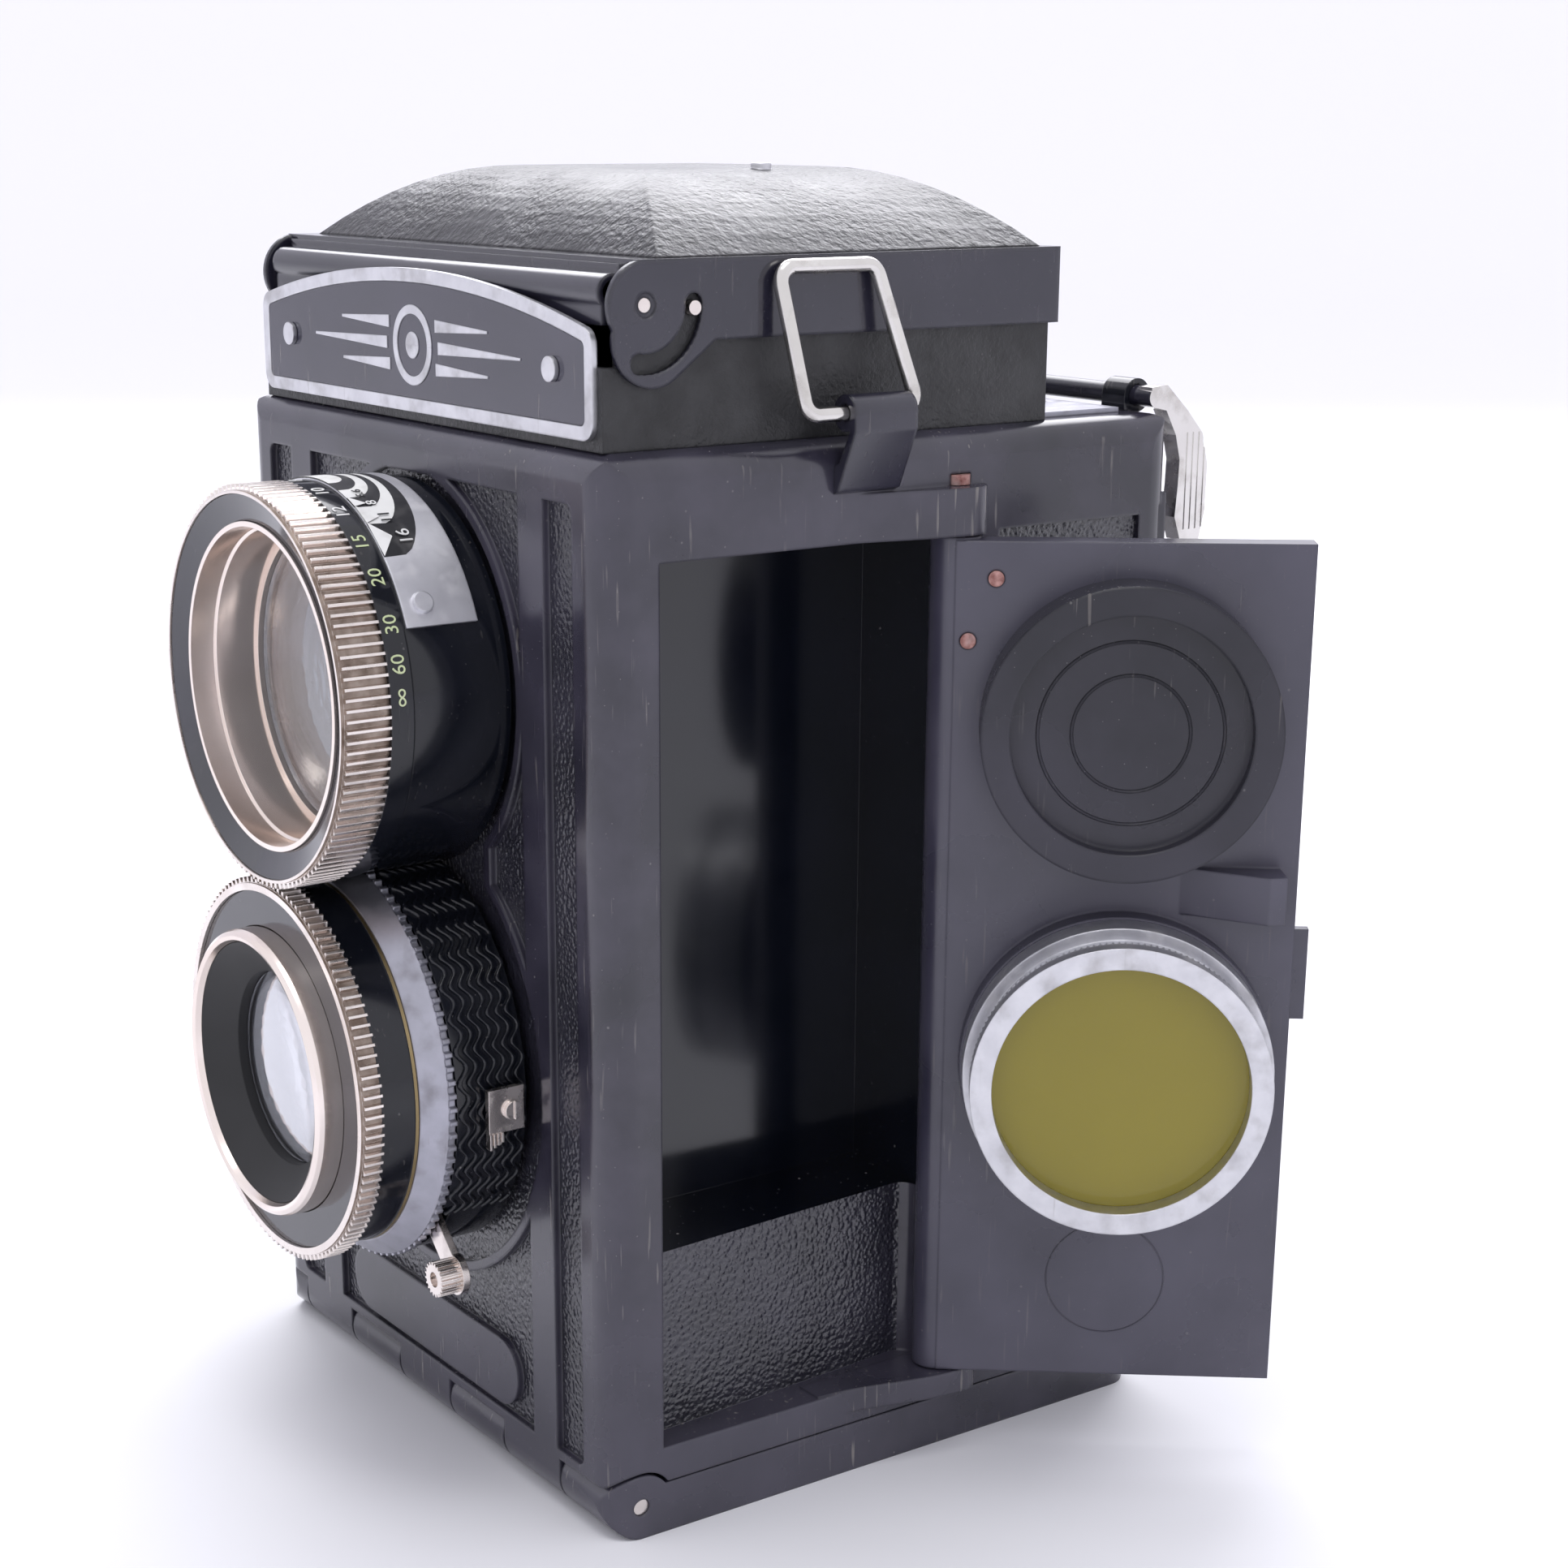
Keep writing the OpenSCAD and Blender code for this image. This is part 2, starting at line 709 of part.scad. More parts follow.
module hood_lid() {
    color("#24242a") {
        difference() {
            union() {
                block([-lid_x, -34.4, lid_z1 - lid_t], [lid_x, lid_y1, lid_z1]);
                dome(0.3, 0.55);
            }
            translate([0, 0, -lid_t]) dome(0.9, 0.55);
            block([-lid_x + 2.6, -30, lid_z1 - 3], [lid_x - 2.6, 20.2, lid_z1 + 0.1]);
        }
        // cheeks, each with a shallow well round its pivot
        for (s = [-1, 1]) difference() {
            along_x(s > 0 ? lid_x - lid_t : -lid_x, s > 0 ? lid_x : -lid_x + lid_t) lid_side();
            bar_x(lid_pivot[0], lid_pivot[1], s * (lid_x + 0.3) - 0.6, s * (lid_x + 0.3) + 0.6, 1.3);
        }
        block([-lid_x, lid_y1 - lid_t, lid_z0], [lid_x, lid_y1, lid_z1]);
        // rolled front edge
        difference() {
            union() {
                bar_x(roll_at[0], roll_at[1], -37.6, 37.6, roll_r);
                block([-37.6, roll_at[0] - 1.4, 137.2], [37.6, roll_at[0] - 0.6, roll_at[1]]);
                block([-37.6, -35.2, 141.6], [37.6, -34.0, lid_z1 - 0.5]);
            }
            bar_x(roll_at[0], roll_at[1], -40, 40, roll_r - 0.7);
        }
    }
}

module lid_leather() {
    color("#1c1c1f") difference() {
        dome(0, 0);
        dome(0.3, 0.5);
        block([-50, -50, 120], [50, 50, lid_z1]);
    }
    // rivet of the lid catch
    color("#cfc8b8") translate([16, -2, lid_z1 + dome_rise(0.87) - 0.3]) cylinder(h = 0.9, r = 1.2);
}

module wing_outline() {
    // y along the hinge, z away from it
    polygon([[-28.5, 0], [18.6, 0], [18.6, 35.4], [4, 35.4], [-26.5, 3]]);
}

module hood_wing(s) {
    color("#1f1f23") {
        difference() {
            translate([s * wing_hinge[0], 0, wing_hinge[1]]) mirror([s > 0 ? 0 : 1, 0, 0])
                rotate([0, -90, 0]) along_x(-0.3, 0.3) wing_outline();
            block([-60, -60, wing_hinge[1] - 5], [60, 60, wing_hinge[1] - 0.4]);
        }
        bar_y(s * wing_hinge[0], wing_hinge[1], -28.5, 18.6, 0.7);
    }
}

module hood_wing_left() {
    hood_wing(-1);
}

module hood_wing_right() {
    hood_wing(1);
}

module focusing_screen() {
    color("#dfe3e6") block([-29.9, -32.9, deck_h - 3.4], [29.9, 19.5, deck_h - 1.6]);
}

module mirror_plate() {
    // silvered glass on the slope behind the viewing lens
    color("#c8d0d8") along_x(-cone_x + 0.2, cone_x - 0.2)
        translate([0, mirror_c - mirror_drop]) rotate(45) translate([-27, 0])
            square([51, 1.6]);
}

// ---- strap loops ---------------------------------------------------------

module bracket(s) {
    mirror([s > 0 ? 0 : 1, 0, 0]) along_y(bracket_y[0], bracket_y[1]) difference() {
        union() {
            translate([bail_x, bail_z]) circle(2.0);
            // strip that runs from the curl down to the side wall
            polygon([
                [bail_x + 2.0, bail_z], [bail_x + 1.1, bail_z - 1.6], [hx + 0.9, 121.9],
                [hx, 121.5], [hx, 118.4], [hx + 0.9, 118.8], [bail_x + 2.0, 125.4]
            ]);
        }
        translate([bail_x, bail_z]) circle(bail_r + fit + 0.05);
    }
}

module strap_brackets() {
    color("#222228") for (s = [-1, 1]) bracket(s);
}

bail_foot = [-15.6, -0.6];
bail_head = [-17.6, -4.6];
bail_top = 15.6;

module bail(s) {
    tilt = 10.5;
    corners = [
        [bail_foot[0], 0], [bail_head[0], bail_top], [bail_head[1], bail_top], [bail_foot[1], 0]
    ];
    color("#cfcac2") translate([s * bail_x, 0, bail_z]) rotate([0, -s * tilt, 0])
        for (i = [0 : 3]) let (a = corners[i], b = corners[(i + 1) % 4], d = b - a)
            translate([0, a[0], a[1]]) {
                sphere(bail_r + 0.04);
                rotate([-atan2(d[0], d[1]), 0, 0]) cylinder(h = norm(d), r = bail_r);
            }
}

module bail_right() {
    bail(1);
}

module bail_left() {
    bail(-1);
}

// ---- accessory door, drawn closed and then swung open --------------------

module swung_door() {
    translate([door_pin[0], door_pin[1], 0]) rotate([0, 0, door_open]) children();
}

// closed door frame: the pin is the origin, -Y runs along the door, -X is inward
module accessory_door() {
    outer = hx - door_pin[0];
    color("#2e2e35") swung_door() difference() {
        union() {
            block([-door_in, -door_len, door_z0], [outer, 0, door_z1]);
            translate([0, 0, door_z0]) cylinder(h = recess_z1 - 0.2 - door_z0, r = barrel_r);
            // bosses that hold the cap and the filter
            translate([-door_in - 2.6, -store_u, cap_z]) rotate([0, 90, 0])
                cylinder(h = 2.7, r = 14.6);
            translate([-door_in - 2.6, -store_u, filter_z]) rotate([0, 90, 0])
                cylinder(h = 2.7, r = filter_boss_r);
            translate([-door_in - 6, -store_u, filter_z]) rotate([0, 90, 0])
                cylinder(h = 6, r = 15.4);
            // wedge catch
            translate([0, 0, 69.4]) linear_extrude(5.6)
                polygon([[-door_in + 0.1, -26.5], [-door_in - 4.6, -36.4],
                    [-door_in - 4.2, -38.4], [-door_in + 0.1, -38.0]]);
            // finger pull on the outer face
            block([outer - 1, -door_len, 55.7], [outer + 1.6, -door_len + 4, 66.7]);
            block([outer + 0.3, -door_len - 2.2, 55.7], [outer + 1.6, -door_len + 1, 66.7]);
        }
        translate([0, 0, -1]) cylinder(h = 200, r = door_pin_r + fit);
        // textured outer panel
        block([outer - 0.4, -door_len + 4.5, door_z0 + 4], [outer + 1, -4.5, door_z1 - 4]);
        for (p = [[4.6, 108.1], [1.6, 101.0]])
            translate([-door_in - 1, -p[0], p[1]]) rotate([0, 90, 0]) cylinder(h = 2.2, r = 0.95);
    }
}

module door_rivets() {
    color("#9a5148") swung_door() for (p = [[4.6, 108.1], [1.6, 101.0]])
        translate([-door_in - 0.25, -p[0], p[1]]) rotate([0, 90, 0]) cylinder(h = 1.45, r = 0.9);
}

module door_hinge_pin() {
    color("#8d4038") translate([door_pin[0], door_pin[1], 0]) {
        translate([0, 0, lug_low]) cylinder(h = lug_top - lug_low + 0.5, r = door_pin_r);
        translate([0, 0, lug_top + 0.05]) cylinder(h = 1.15, r = 1.45);
    }
}

module lens_cap() {
    color("#232327") swung_door() translate([-door_in, -store_u, cap_z]) rotate([0, -90, 0])
        difference() {
            cylinder(h = 6, r = cap_r);
            translate([0, 0, -1]) cylinder(h = 3.7, r = 14.7);
            translate([0, 0, 4.0]) cylinder(h = 3, r = 13.6);
        }
}

module filter_rim() {
    color("#c2c4c8") swung_door() translate([-door_in, -store_u, filter_z]) rotate([0, -90, 0])
        difference() {
            union() {
                translate([0, 0, 2.7]) cylinder(h = 3.6, r = filter_r + 0.7);
                translate([0, 0, 6.2]) cylinder(h = 4, r = filter_r - 0.7);
                translate([0, 0, 10]) cylinder(h = 2, r = filter_r);
            }
            translate([0, 0, 2]) cylinder(h = 7.4, r = 15.5);
            translate([0, 0, 8]) cylinder(h = 5, r = 14.7);
        }
}

module filter_glass() {
    color("#8a8030") swung_door() translate([-door_in, -store_u, filter_z]) rotate([0, -90, 0])
        translate([0, 0, 6.4]) cylinder(h = 2.9, r = 15.4);
}

// ---- back cover ----------------------------------------------------------

module back_cover() {
    color("#27272c") difference() {
        union() {
            difference() {
                intersection() {
                    linear_extrude(cover_top) rounded_rect(-hx, fy, hx, by, corner_r);
                    along_x(-hx, hx) rounded_rect(fy, 0, by, 200, 2.5);
                }
                // hollow of the tray, and everything above it up to the back panel
                block([-hx + wall, hinge_y + 6, wall], [hx - wall, seam_y, seam_h + 1]);
                block([-hx - 1, fy - 1, seam_h], [hx + 1, seam_y, 200]);
                // front edge is left to the knuckles
                block([-hx - 1, fy - 1, -1], [hx + 1, hinge_y + hinge_r + 0.4, seam_h + 1]);
                // corner left free for the latch lever
                block([cover_notch[0], seam_y - 1, cover_notch[1]], [hx + 1, by + 1, cover_top + 1]);
            }
            intersection() {
                linear_extrude(20) rounded_rect(-hx, fy, hx, by, corner_r);
                for (s = cover_spans) {
                    x0 = s[0] + (s[0] > -hx ? knuckle_gap : 0);
                    x1 = s[1] - (s[1] < hx ? knuckle_gap : 0);
                    bar_x(hinge_y, hinge_z, x0, x1, hinge_r);
                    block([x0, hinge_y, 0], [x1, hinge_y + hinge_r + 1, seam_h]);
                }
            }
        }
        bar_x(hinge_y, hinge_z, -hx - 1, hx + 1, hinge_pin_r + fit);
        // tripod bush seat and window
        translate([0, 0, -1]) cylinder(h = 9, r = 7.0);
        bar_y(0, take_h - 18, seam_y - 1, by + 1, 3.5);
        // textured panel of the back
        block([-36, by - 0.5, 12], [34, by + 1, 100]);
    }
    // boss round the tripod bush
    color("#27272c") difference() {
        cylinder(h = 4.4, r = 9.5);
        translate([0, 0, -1]) cylinder(h = 9, r = 7.0);
    }
}

module back_hinge_pin() {
    color("#c0b8a8") bar_x(hinge_y, hinge_z, -hx + 0.3, hx - 0.3, hinge_pin_r);
}

module tripod_bush() {
    color("#c9c3b6") difference() {
        union() {
            cylinder(h = 4.8, r = 6.98);
            translate([0, 0, 4.4]) cylinder(h = 0.8, r = 9);
        }
        translate([0, 0, -1]) cylinder(h = 9, r = 2.55);
    }
}

module pressure_plate() {
    color("#3c3e44") {
        difference() {
            block([-30, film_y + 0.9, take_h - 31], [30, film_y + 2.1, take_h + 31]);
            bar_y(0, take_h - 18, 20, 40, 4);
        }
        // bowed leaf springs behind the plate
        for (z = [take_h - 22, take_h + 18]) block([-3, film_y + 2.1, z], [3, seam_y - 1.7, z + 4]);
    }
}

module red_window() {
    color("#8c1c16") bar_y(0, take_h - 18, seam_y + 0.1, seam_y + 1.1, 3.45);
}

module window_slide() {
    color("#2a2a2e") {
        block([-4.6, by - 0.45, take_h - 22.6], [4.6, by + 0.3, take_h - 13.4]);
        for (i = [0 : 3]) block([-3, by + 0.2, take_h - 21 + i * 2], [3, by + 0.7, take_h - 20 + i * 2]);
    }
}

module back_latch() {
    color("#c6c2ba") {
        bar_x(latch[0], latch[1], -24, 39.6, 1.25);
        // curved lever at the right end, outline in the YZ plane
        difference() {
            along_x(37.3, 39.6) polygon([
                [latch[0] - 1, latch[1] + 1.2], [latch[0] + 1.5, latch[1] + 1.4], [44.0, 124.2],
                [46.6, 121.4], [47.6, 117.6], [47.5, 112], [46.7, 108.6], [45.2, 107.6],
                [43.6, 108.8], [42.6, 111.6], [42.9, 115.4], [43.0, 118.4], [42.2, 121.4],
                [latch[0] + 1.5, 124.4], [latch[0] - 0.6, latch[1] - 1.1]
            ]);
            for (i = [0 : 3]) translate([39.5, 43.9 + i * 0.95, 110]) cube([1, 0.3, 11.6]);
        }
        // claw above the cover's top edge
        block([-5, latch[0] - 0.6, latch[1] + 0.6], [5, latch[0] + 2.8, latch[1] + 1.3]);
        block([-5, latch[0] + 2.1, latch[1] - 4.4], [5, latch[0] + 2.8, latch[1] + 1.3]);
    }
}

module latch_bushes() {
    color("#222228") for (x = [-20, 12, 32]) difference() {
        union() {
            bar_x(latch[0], latch[1], x, x + 4, 2.0);
            block([x, latch[0] - 2.0, deck_h], [x + 4, latch[0] + 1.0, latch[1]]);
        }
        bar_x(latch[0], latch[1], x - 1, x + 5, 1.25 + fit);
    }
}

module deck_plate() {
    color("#8f9096") difference() {
        block([-37, 22.9, deck_h], [37, 35.2, deck_h + 0.6]);
        translate([25, 30, deck_h - 1]) cylinder(h = 3, r = 3.2);
    }
    color("#d8d8dc") translate([25, 30, deck_h]) cylinder(h = 1.3, r = 3.15);
}

// ---- film transport ------------------------------------------------------

module film_gate() {
    color("#2b2c31") difference() {
        union() {
            block([-film_x + 0.1, film_y - 2, take_h - 31], [film_x - 0.1, film_y, take_h + 31]);
            block([-31, film_y0 + 0.3, take_h - 30.6], [31, film_y - 1.9, take_h + 30.6]);
        }
        block([-gate_half, 0, take_h - gate_half], [gate_half, film_y + 1, take_h + gate_half]);
        block([-29.4, 0, take_h - 29], [29.4, film_y - 2, take_h + 29]);
    }
}

module film_roller(z) {
    color("#b8b8bc") {
        bar_x(film_y - roller_r, z, -film_x + 0.4, film_x - 0.4, roller_r);
        bar_x(film_y - roller_r, z, -film_x - 1.2, film_x + 1.2, 0.8);
    }
}

module film_roller_upper() {
    film_roller(take_h + roller_dz);
}

module film_roller_lower() {
    film_roller(take_h - roller_dz);
}

// 120 roll film spool: core with two flanges, drive slot in the ends
module spool(p) {
    difference() {
        union() {
            bar_x(p[0], p[1], -spool_half, spool_half, core_r);
            for (x = [-spool_half, spool_half - 1])
                bar_x(p[0], p[1], x, x + 1, spool_r);
        }
        bar_x(p[0], p[1], -40, 40, 1.9);
        for (s = [-1, 1]) translate([s * spool_half, p[0], p[1]]) cube([6, 1.8, 8], center = true);
    }
}

module take_up_spool() {
    color("#4a3a30") spool(take_up);
}

module supply_spool() {
    color("#4a3a30") spool(supply);
}

module winding_knob() {
    color("#1e1e22") {
        difference() {
            along_x(-hx - 9, -hx - 0.4) translate(take_up) polygon(teeth(48, 11, 0.6));
            bar_x(take_up[0], take_up[1], -hx - 10, -hx - 8.2, 8);
        }
        bar_x(take_up[0], take_up[1], -hx - 0.5, -film_x + 0.6, 3);
    }
    color("#1e1e22") translate([-film_x + 1.3, take_up[0], take_up[1]])
        cube([2.4, 1.6, 7.4], center = true);
}

module supply_spindle() {
    color("#bdb8ae") {
        bar_x(supply[0], supply[1], -hx - 3.4, -hx + 1.4, 6.4);
        bar_x(supply[0], supply[1], -hx, -film_x + 0.4, 3);
        bar_x(supply[0], supply[1], -film_x + 0.3, -spool_half + 3, 1.8);
    }
}

module counter_dial() {
    color("#d8d4c4") bar_x(-14, 98, -hx + left_plate_t + 0.4, -hx + left_plate_t + 1.6, 9);
    color("#8a8a8e") bar_x(-14, 98, -hx + left_plate_t + 1.6, -store_x - 0.1, 1.5);
}

// ---- the assembly --------------------------------------------------------

body_shell();
left_side_plate();
nameplate();
nameplate_field();
nameplate_rivets();
viewing_barrel();
depth_scale_plate();
viewing_focus_ring();
distance_band();
viewing_bezel();
viewing_lens_cell();
viewing_front_element();
viewing_rear_element();
taking_focus_ring();
taking_name_ring();
taking_filter_rim();
taking_inner_cone();
taking_front_element();
taking_barrel();
speed_ring();
shutter_housing();
shutter_blades();
taking_rear_element();
cocking_lever();
aperture_lever();
release_lever();
hood_base();
hood_lid();
lid_leather();
hood_pivot_pins();
hood_wing_left();
hood_wing_right();
focusing_screen();
mirror_plate();  // mirror
strap_brackets();
bail_right();
bail_left();
accessory_door();
door_hinge_pin();
door_rivets();
lens_cap();
filter_rim();
filter_glass();
back_cover();
back_hinge_pin();
tripod_bush();
pressure_plate();
red_window();
window_slide();
back_latch();
latch_bushes();
deck_plate();
film_gate();
film_roller_upper();
film_roller_lower();
take_up_spool();
winding_knob();
supply_spool();
supply_spindle();
counter_dial();
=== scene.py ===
"""Looks of the twin lens reflex camera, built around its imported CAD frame."""
import math

import bpy
from mathutils import Matrix, Vector


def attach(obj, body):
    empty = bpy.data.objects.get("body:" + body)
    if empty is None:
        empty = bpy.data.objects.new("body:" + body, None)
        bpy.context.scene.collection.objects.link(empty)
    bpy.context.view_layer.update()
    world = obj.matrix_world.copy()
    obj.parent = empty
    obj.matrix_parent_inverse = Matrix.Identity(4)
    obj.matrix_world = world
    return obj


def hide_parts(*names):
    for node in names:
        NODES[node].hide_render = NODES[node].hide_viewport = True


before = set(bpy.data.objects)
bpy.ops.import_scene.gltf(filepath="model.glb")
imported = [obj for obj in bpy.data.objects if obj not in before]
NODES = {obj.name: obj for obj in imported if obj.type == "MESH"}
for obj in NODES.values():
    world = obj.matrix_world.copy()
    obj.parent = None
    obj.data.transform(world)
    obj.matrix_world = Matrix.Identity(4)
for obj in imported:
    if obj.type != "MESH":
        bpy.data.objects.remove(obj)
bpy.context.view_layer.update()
MM = 0.001

# ---- materials ------------------------------------------------------------


class Tree:
    """Small helper that adds shader nodes and links them."""

    def __init__(self, name):
        self.mat = bpy.data.materials.new(name)
        self.mat.use_nodes = True
        self.nt = self.mat.node_tree
        self.nt.nodes.clear()
        self.out = self.nt.nodes.new("ShaderNodeOutputMaterial")
        self.bsdf = self.nt.nodes.new("ShaderNodeBsdfPrincipled")
        self.link(self.bsdf.outputs[0], self.out.inputs["Surface"])
        self.coord = self.nt.nodes.new("ShaderNodeTexCoord").outputs["Object"]

    def link(self, a, b):
        self.nt.links.new(a, b)

    def node(self, kind, inputs=(), **props):
        n = self.nt.nodes.new(kind)
        for k, v in props.items():
            setattr(n, k, v)
        for k, v in dict(inputs).items():
            if hasattr(v, "is_output"):
                self.link(v, n.inputs[k])
            else:
                n.inputs[k].default_value = v
        return n

    def noise(self, scale, detail=4.0, vec=None):
        n = self.node("ShaderNodeTexNoise", {"Scale": scale, "Detail": detail})
        self.link(vec or self.coord, n.inputs["Vector"])
        return n.outputs["Fac"]

    def stretched(self, factors, turn=(0.0, 0.0, 0.0)):
        return self.node("ShaderNodeMapping", {"Vector": self.coord, "Scale": factors,
                                               "Rotation": turn}).outputs[0]

    def ramp(self, fac, lo, hi, out_lo=0.0, out_hi=1.0):
        n = self.node("ShaderNodeMapRange", {"Value": fac, "From Min": lo, "From Max": hi,
                                             "To Min": out_lo, "To Max": out_hi})
        return n.outputs[0]

    def math(self, op, a, b):
        return self.node("ShaderNodeMath", {0: a, 1: b}, operation=op).outputs[0]

    def mix(self, fac, a, b):
        n = self.node("ShaderNodeMix", data_type="RGBA")
        for i, v in ((0, fac), (6, a), (7, b)):
            if hasattr(v, "is_output"):
                self.link(v, n.inputs[i])
            else:
                n.inputs[i].default_value = v
        return n.outputs[2]

    def bump(self, height, strength, distance, normal=None):
        n = self.node("ShaderNodeBump", {"Height": height, "Strength": strength,
                                         "Distance": distance * MM})
        if normal is not None:
            self.link(normal, n.inputs["Normal"])
        return n.outputs[0]


def grain_height(t, kind, scale):
    """Height field of a moulded, leathery or pebbled surface."""
    warp = t.node("ShaderNodeTexNoise", {"Vector": t.coord, "Scale": scale * 0.5, "Detail": 3.0})
    vec = t.node("ShaderNodeMix", data_type="VECTOR")
    vec.inputs[0].default_value = 0.0012 if kind == "leather" else 0.00015
    t.link(t.coord, vec.inputs[4])
    t.link(warp.outputs["Color"], vec.inputs[5])
    cells = t.node("ShaderNodeTexVoronoi", {"Scale": scale}, feature="SMOOTH_F1")
    t.link(vec.outputs[1], cells.inputs["Vector"])
    fine = t.noise(scale * 2.4, 5.0)
    if kind == "leather":
        crease = t.math("ADD", cells.outputs["Distance"], t.math("MULTIPLY", fine, 0.8))
        return t.math("MULTIPLY", crease, t.ramp(t.noise(70.0, 4.0), 0.36, 0.62, 0.35, 1.0))
    return t.math("SUBTRACT", t.math("MULTIPLY", fine, 0.3), cells.outputs["Distance"])


SCRATCH_TURNS = [(0.2, 0.5, 0.3), (1.1, 0.2, 0.9), (0.4, 1.3, 2.1)]


def scratches(t):
    """Mask of short fine scratches that run three ways and come in patches."""
    marks = None
    for k, turn in enumerate(SCRATCH_TURNS):
        along = t.stretched((1.0, 1.0, 0.06), turn)
        line = t.ramp(t.noise(1300.0 + 210 * k, 1.0, along), 0.71, 0.78)
        marks = line if marks is None else t.math("MAXIMUM", marks, line)
    return t.math("MULTIPLY", marks, t.ramp(t.noise(75.0, 5.0), 0.46, 0.64))


def specks(t, scale, share):
    """Mask of scattered round specks, a share of the cells being left empty."""
    cells = t.node("ShaderNodeTexVoronoi", {"Scale": scale, "Vector": t.coord})
    dot = t.ramp(cells.outputs["Distance"], 0.13, 0.05)
    split = t.node("ShaderNodeSeparateColor", {0: cells.outputs["Color"]})
    return t.math("MULTIPLY", dot, t.ramp(split.outputs[0], share, share + 0.03))


def material(name, dark, light, rough, metal=0.0, grain=None, scuff=0.0, dust=0.0,
             bevel=0.25, tone=90.0, haze=0.0, dirt=None, shine=0.5):
    """Worn surface: mottled colour, uneven gloss, soft edges, smears, scratches and dust."""
    t = Tree(name)
    tone_fac = t.ramp(t.noise(tone, 6.0), 0.32, 0.68)
    colour = t.mix(tone_fac, (*dark, 1), (*light, 1))
    gloss = t.ramp(t.noise(45.0, 5.0), 0.3, 0.7, rough[0], rough[1])
    normal = t.node("ShaderNodeBevel", {"Radius": bevel * MM}, samples=4).outputs[0]
    if haze:
        smear = t.math("MULTIPLY", t.ramp(t.noise(30.0, 7.0), 0.44, 0.66), haze)
        colour = t.mix(smear, colour, (0.080, 0.074, 0.108, 1))
        gloss = t.math("ADD", gloss, t.math("MULTIPLY", smear, 0.35))
    if grain:
        kind, scale, depth = grain
        normal = t.bump(grain_height(t, kind, scale), 0.9, depth, normal)
    if scuff:
        marks = scratches(t)
        worn = t.math("MULTIPLY", marks, scuff)
        colour = t.mix(worn, colour, (0.26, 0.24, 0.22, 1))
        gloss = t.math("ADD", gloss, t.math("MULTIPLY", worn, 0.3))
        normal = t.bump(marks, 0.12, 0.02, normal)
    if dirt:
        spots = t.ramp(t.noise(320.0, 8.0), 0.5, 0.72)
        colour = t.mix(t.math("MULTIPLY", spots, dirt[1]), colour, (*dirt[0], 1))
        gloss = t.math("ADD", gloss, t.math("MULTIPLY", spots, 0.25))
    if dust:
        up = t.node("ShaderNodeSeparateXYZ", {0: t.node("ShaderNodeNewGeometry").outputs["Normal"]})
        lying = t.ramp(up.outputs[2], -0.1, 0.9, 0.35, 1.0)
        film = t.math("MAXIMUM", specks(t, 640.0, 0.93), specks(t, 1900.0, 0.86))
        film = t.math("MULTIPLY", t.math("MULTIPLY", film, lying), dust)
        colour = t.mix(film, colour, (0.46, 0.44, 0.42, 1))
        gloss = t.math("ADD", gloss, t.math("MULTIPLY", film, 0.5))
    normal = t.bump(t.noise(700.0, 3.0), 0.04, 0.03, normal)
    t.link(colour, t.bsdf.inputs["Base Color"])
    t.link(gloss, t.bsdf.inputs["Roughness"])
    t.link(normal, t.bsdf.inputs["Normal"])
    t.bsdf.inputs["Metallic"].default_value = metal
    t.bsdf.inputs["Specular IOR Level"].default_value = shine
    return t.mat


def glass(name, tint, rough=0.02, transmission=1.0, silver=0.0):
    """Glass with faint smears."""
    t = Tree(name)
    smear = t.ramp(t.noise(110.0, 5.0), 0.45, 0.75, rough, rough + 0.07)
    t.link(t.mix(t.ramp(t.noise(60.0), 0.3, 0.7), (*tint, 1), (*[c * 0.93 for c in tint], 1)),
           t.bsdf.inputs["Base Color"])
    t.link(smear, t.bsdf.inputs["Roughness"])
    t.bsdf.inputs["Transmission Weight"].default_value = transmission
    t.bsdf.inputs["Metallic"].default_value = silver
    t.bsdf.inputs["IOR"].default_value = 1.5
    return t.mat


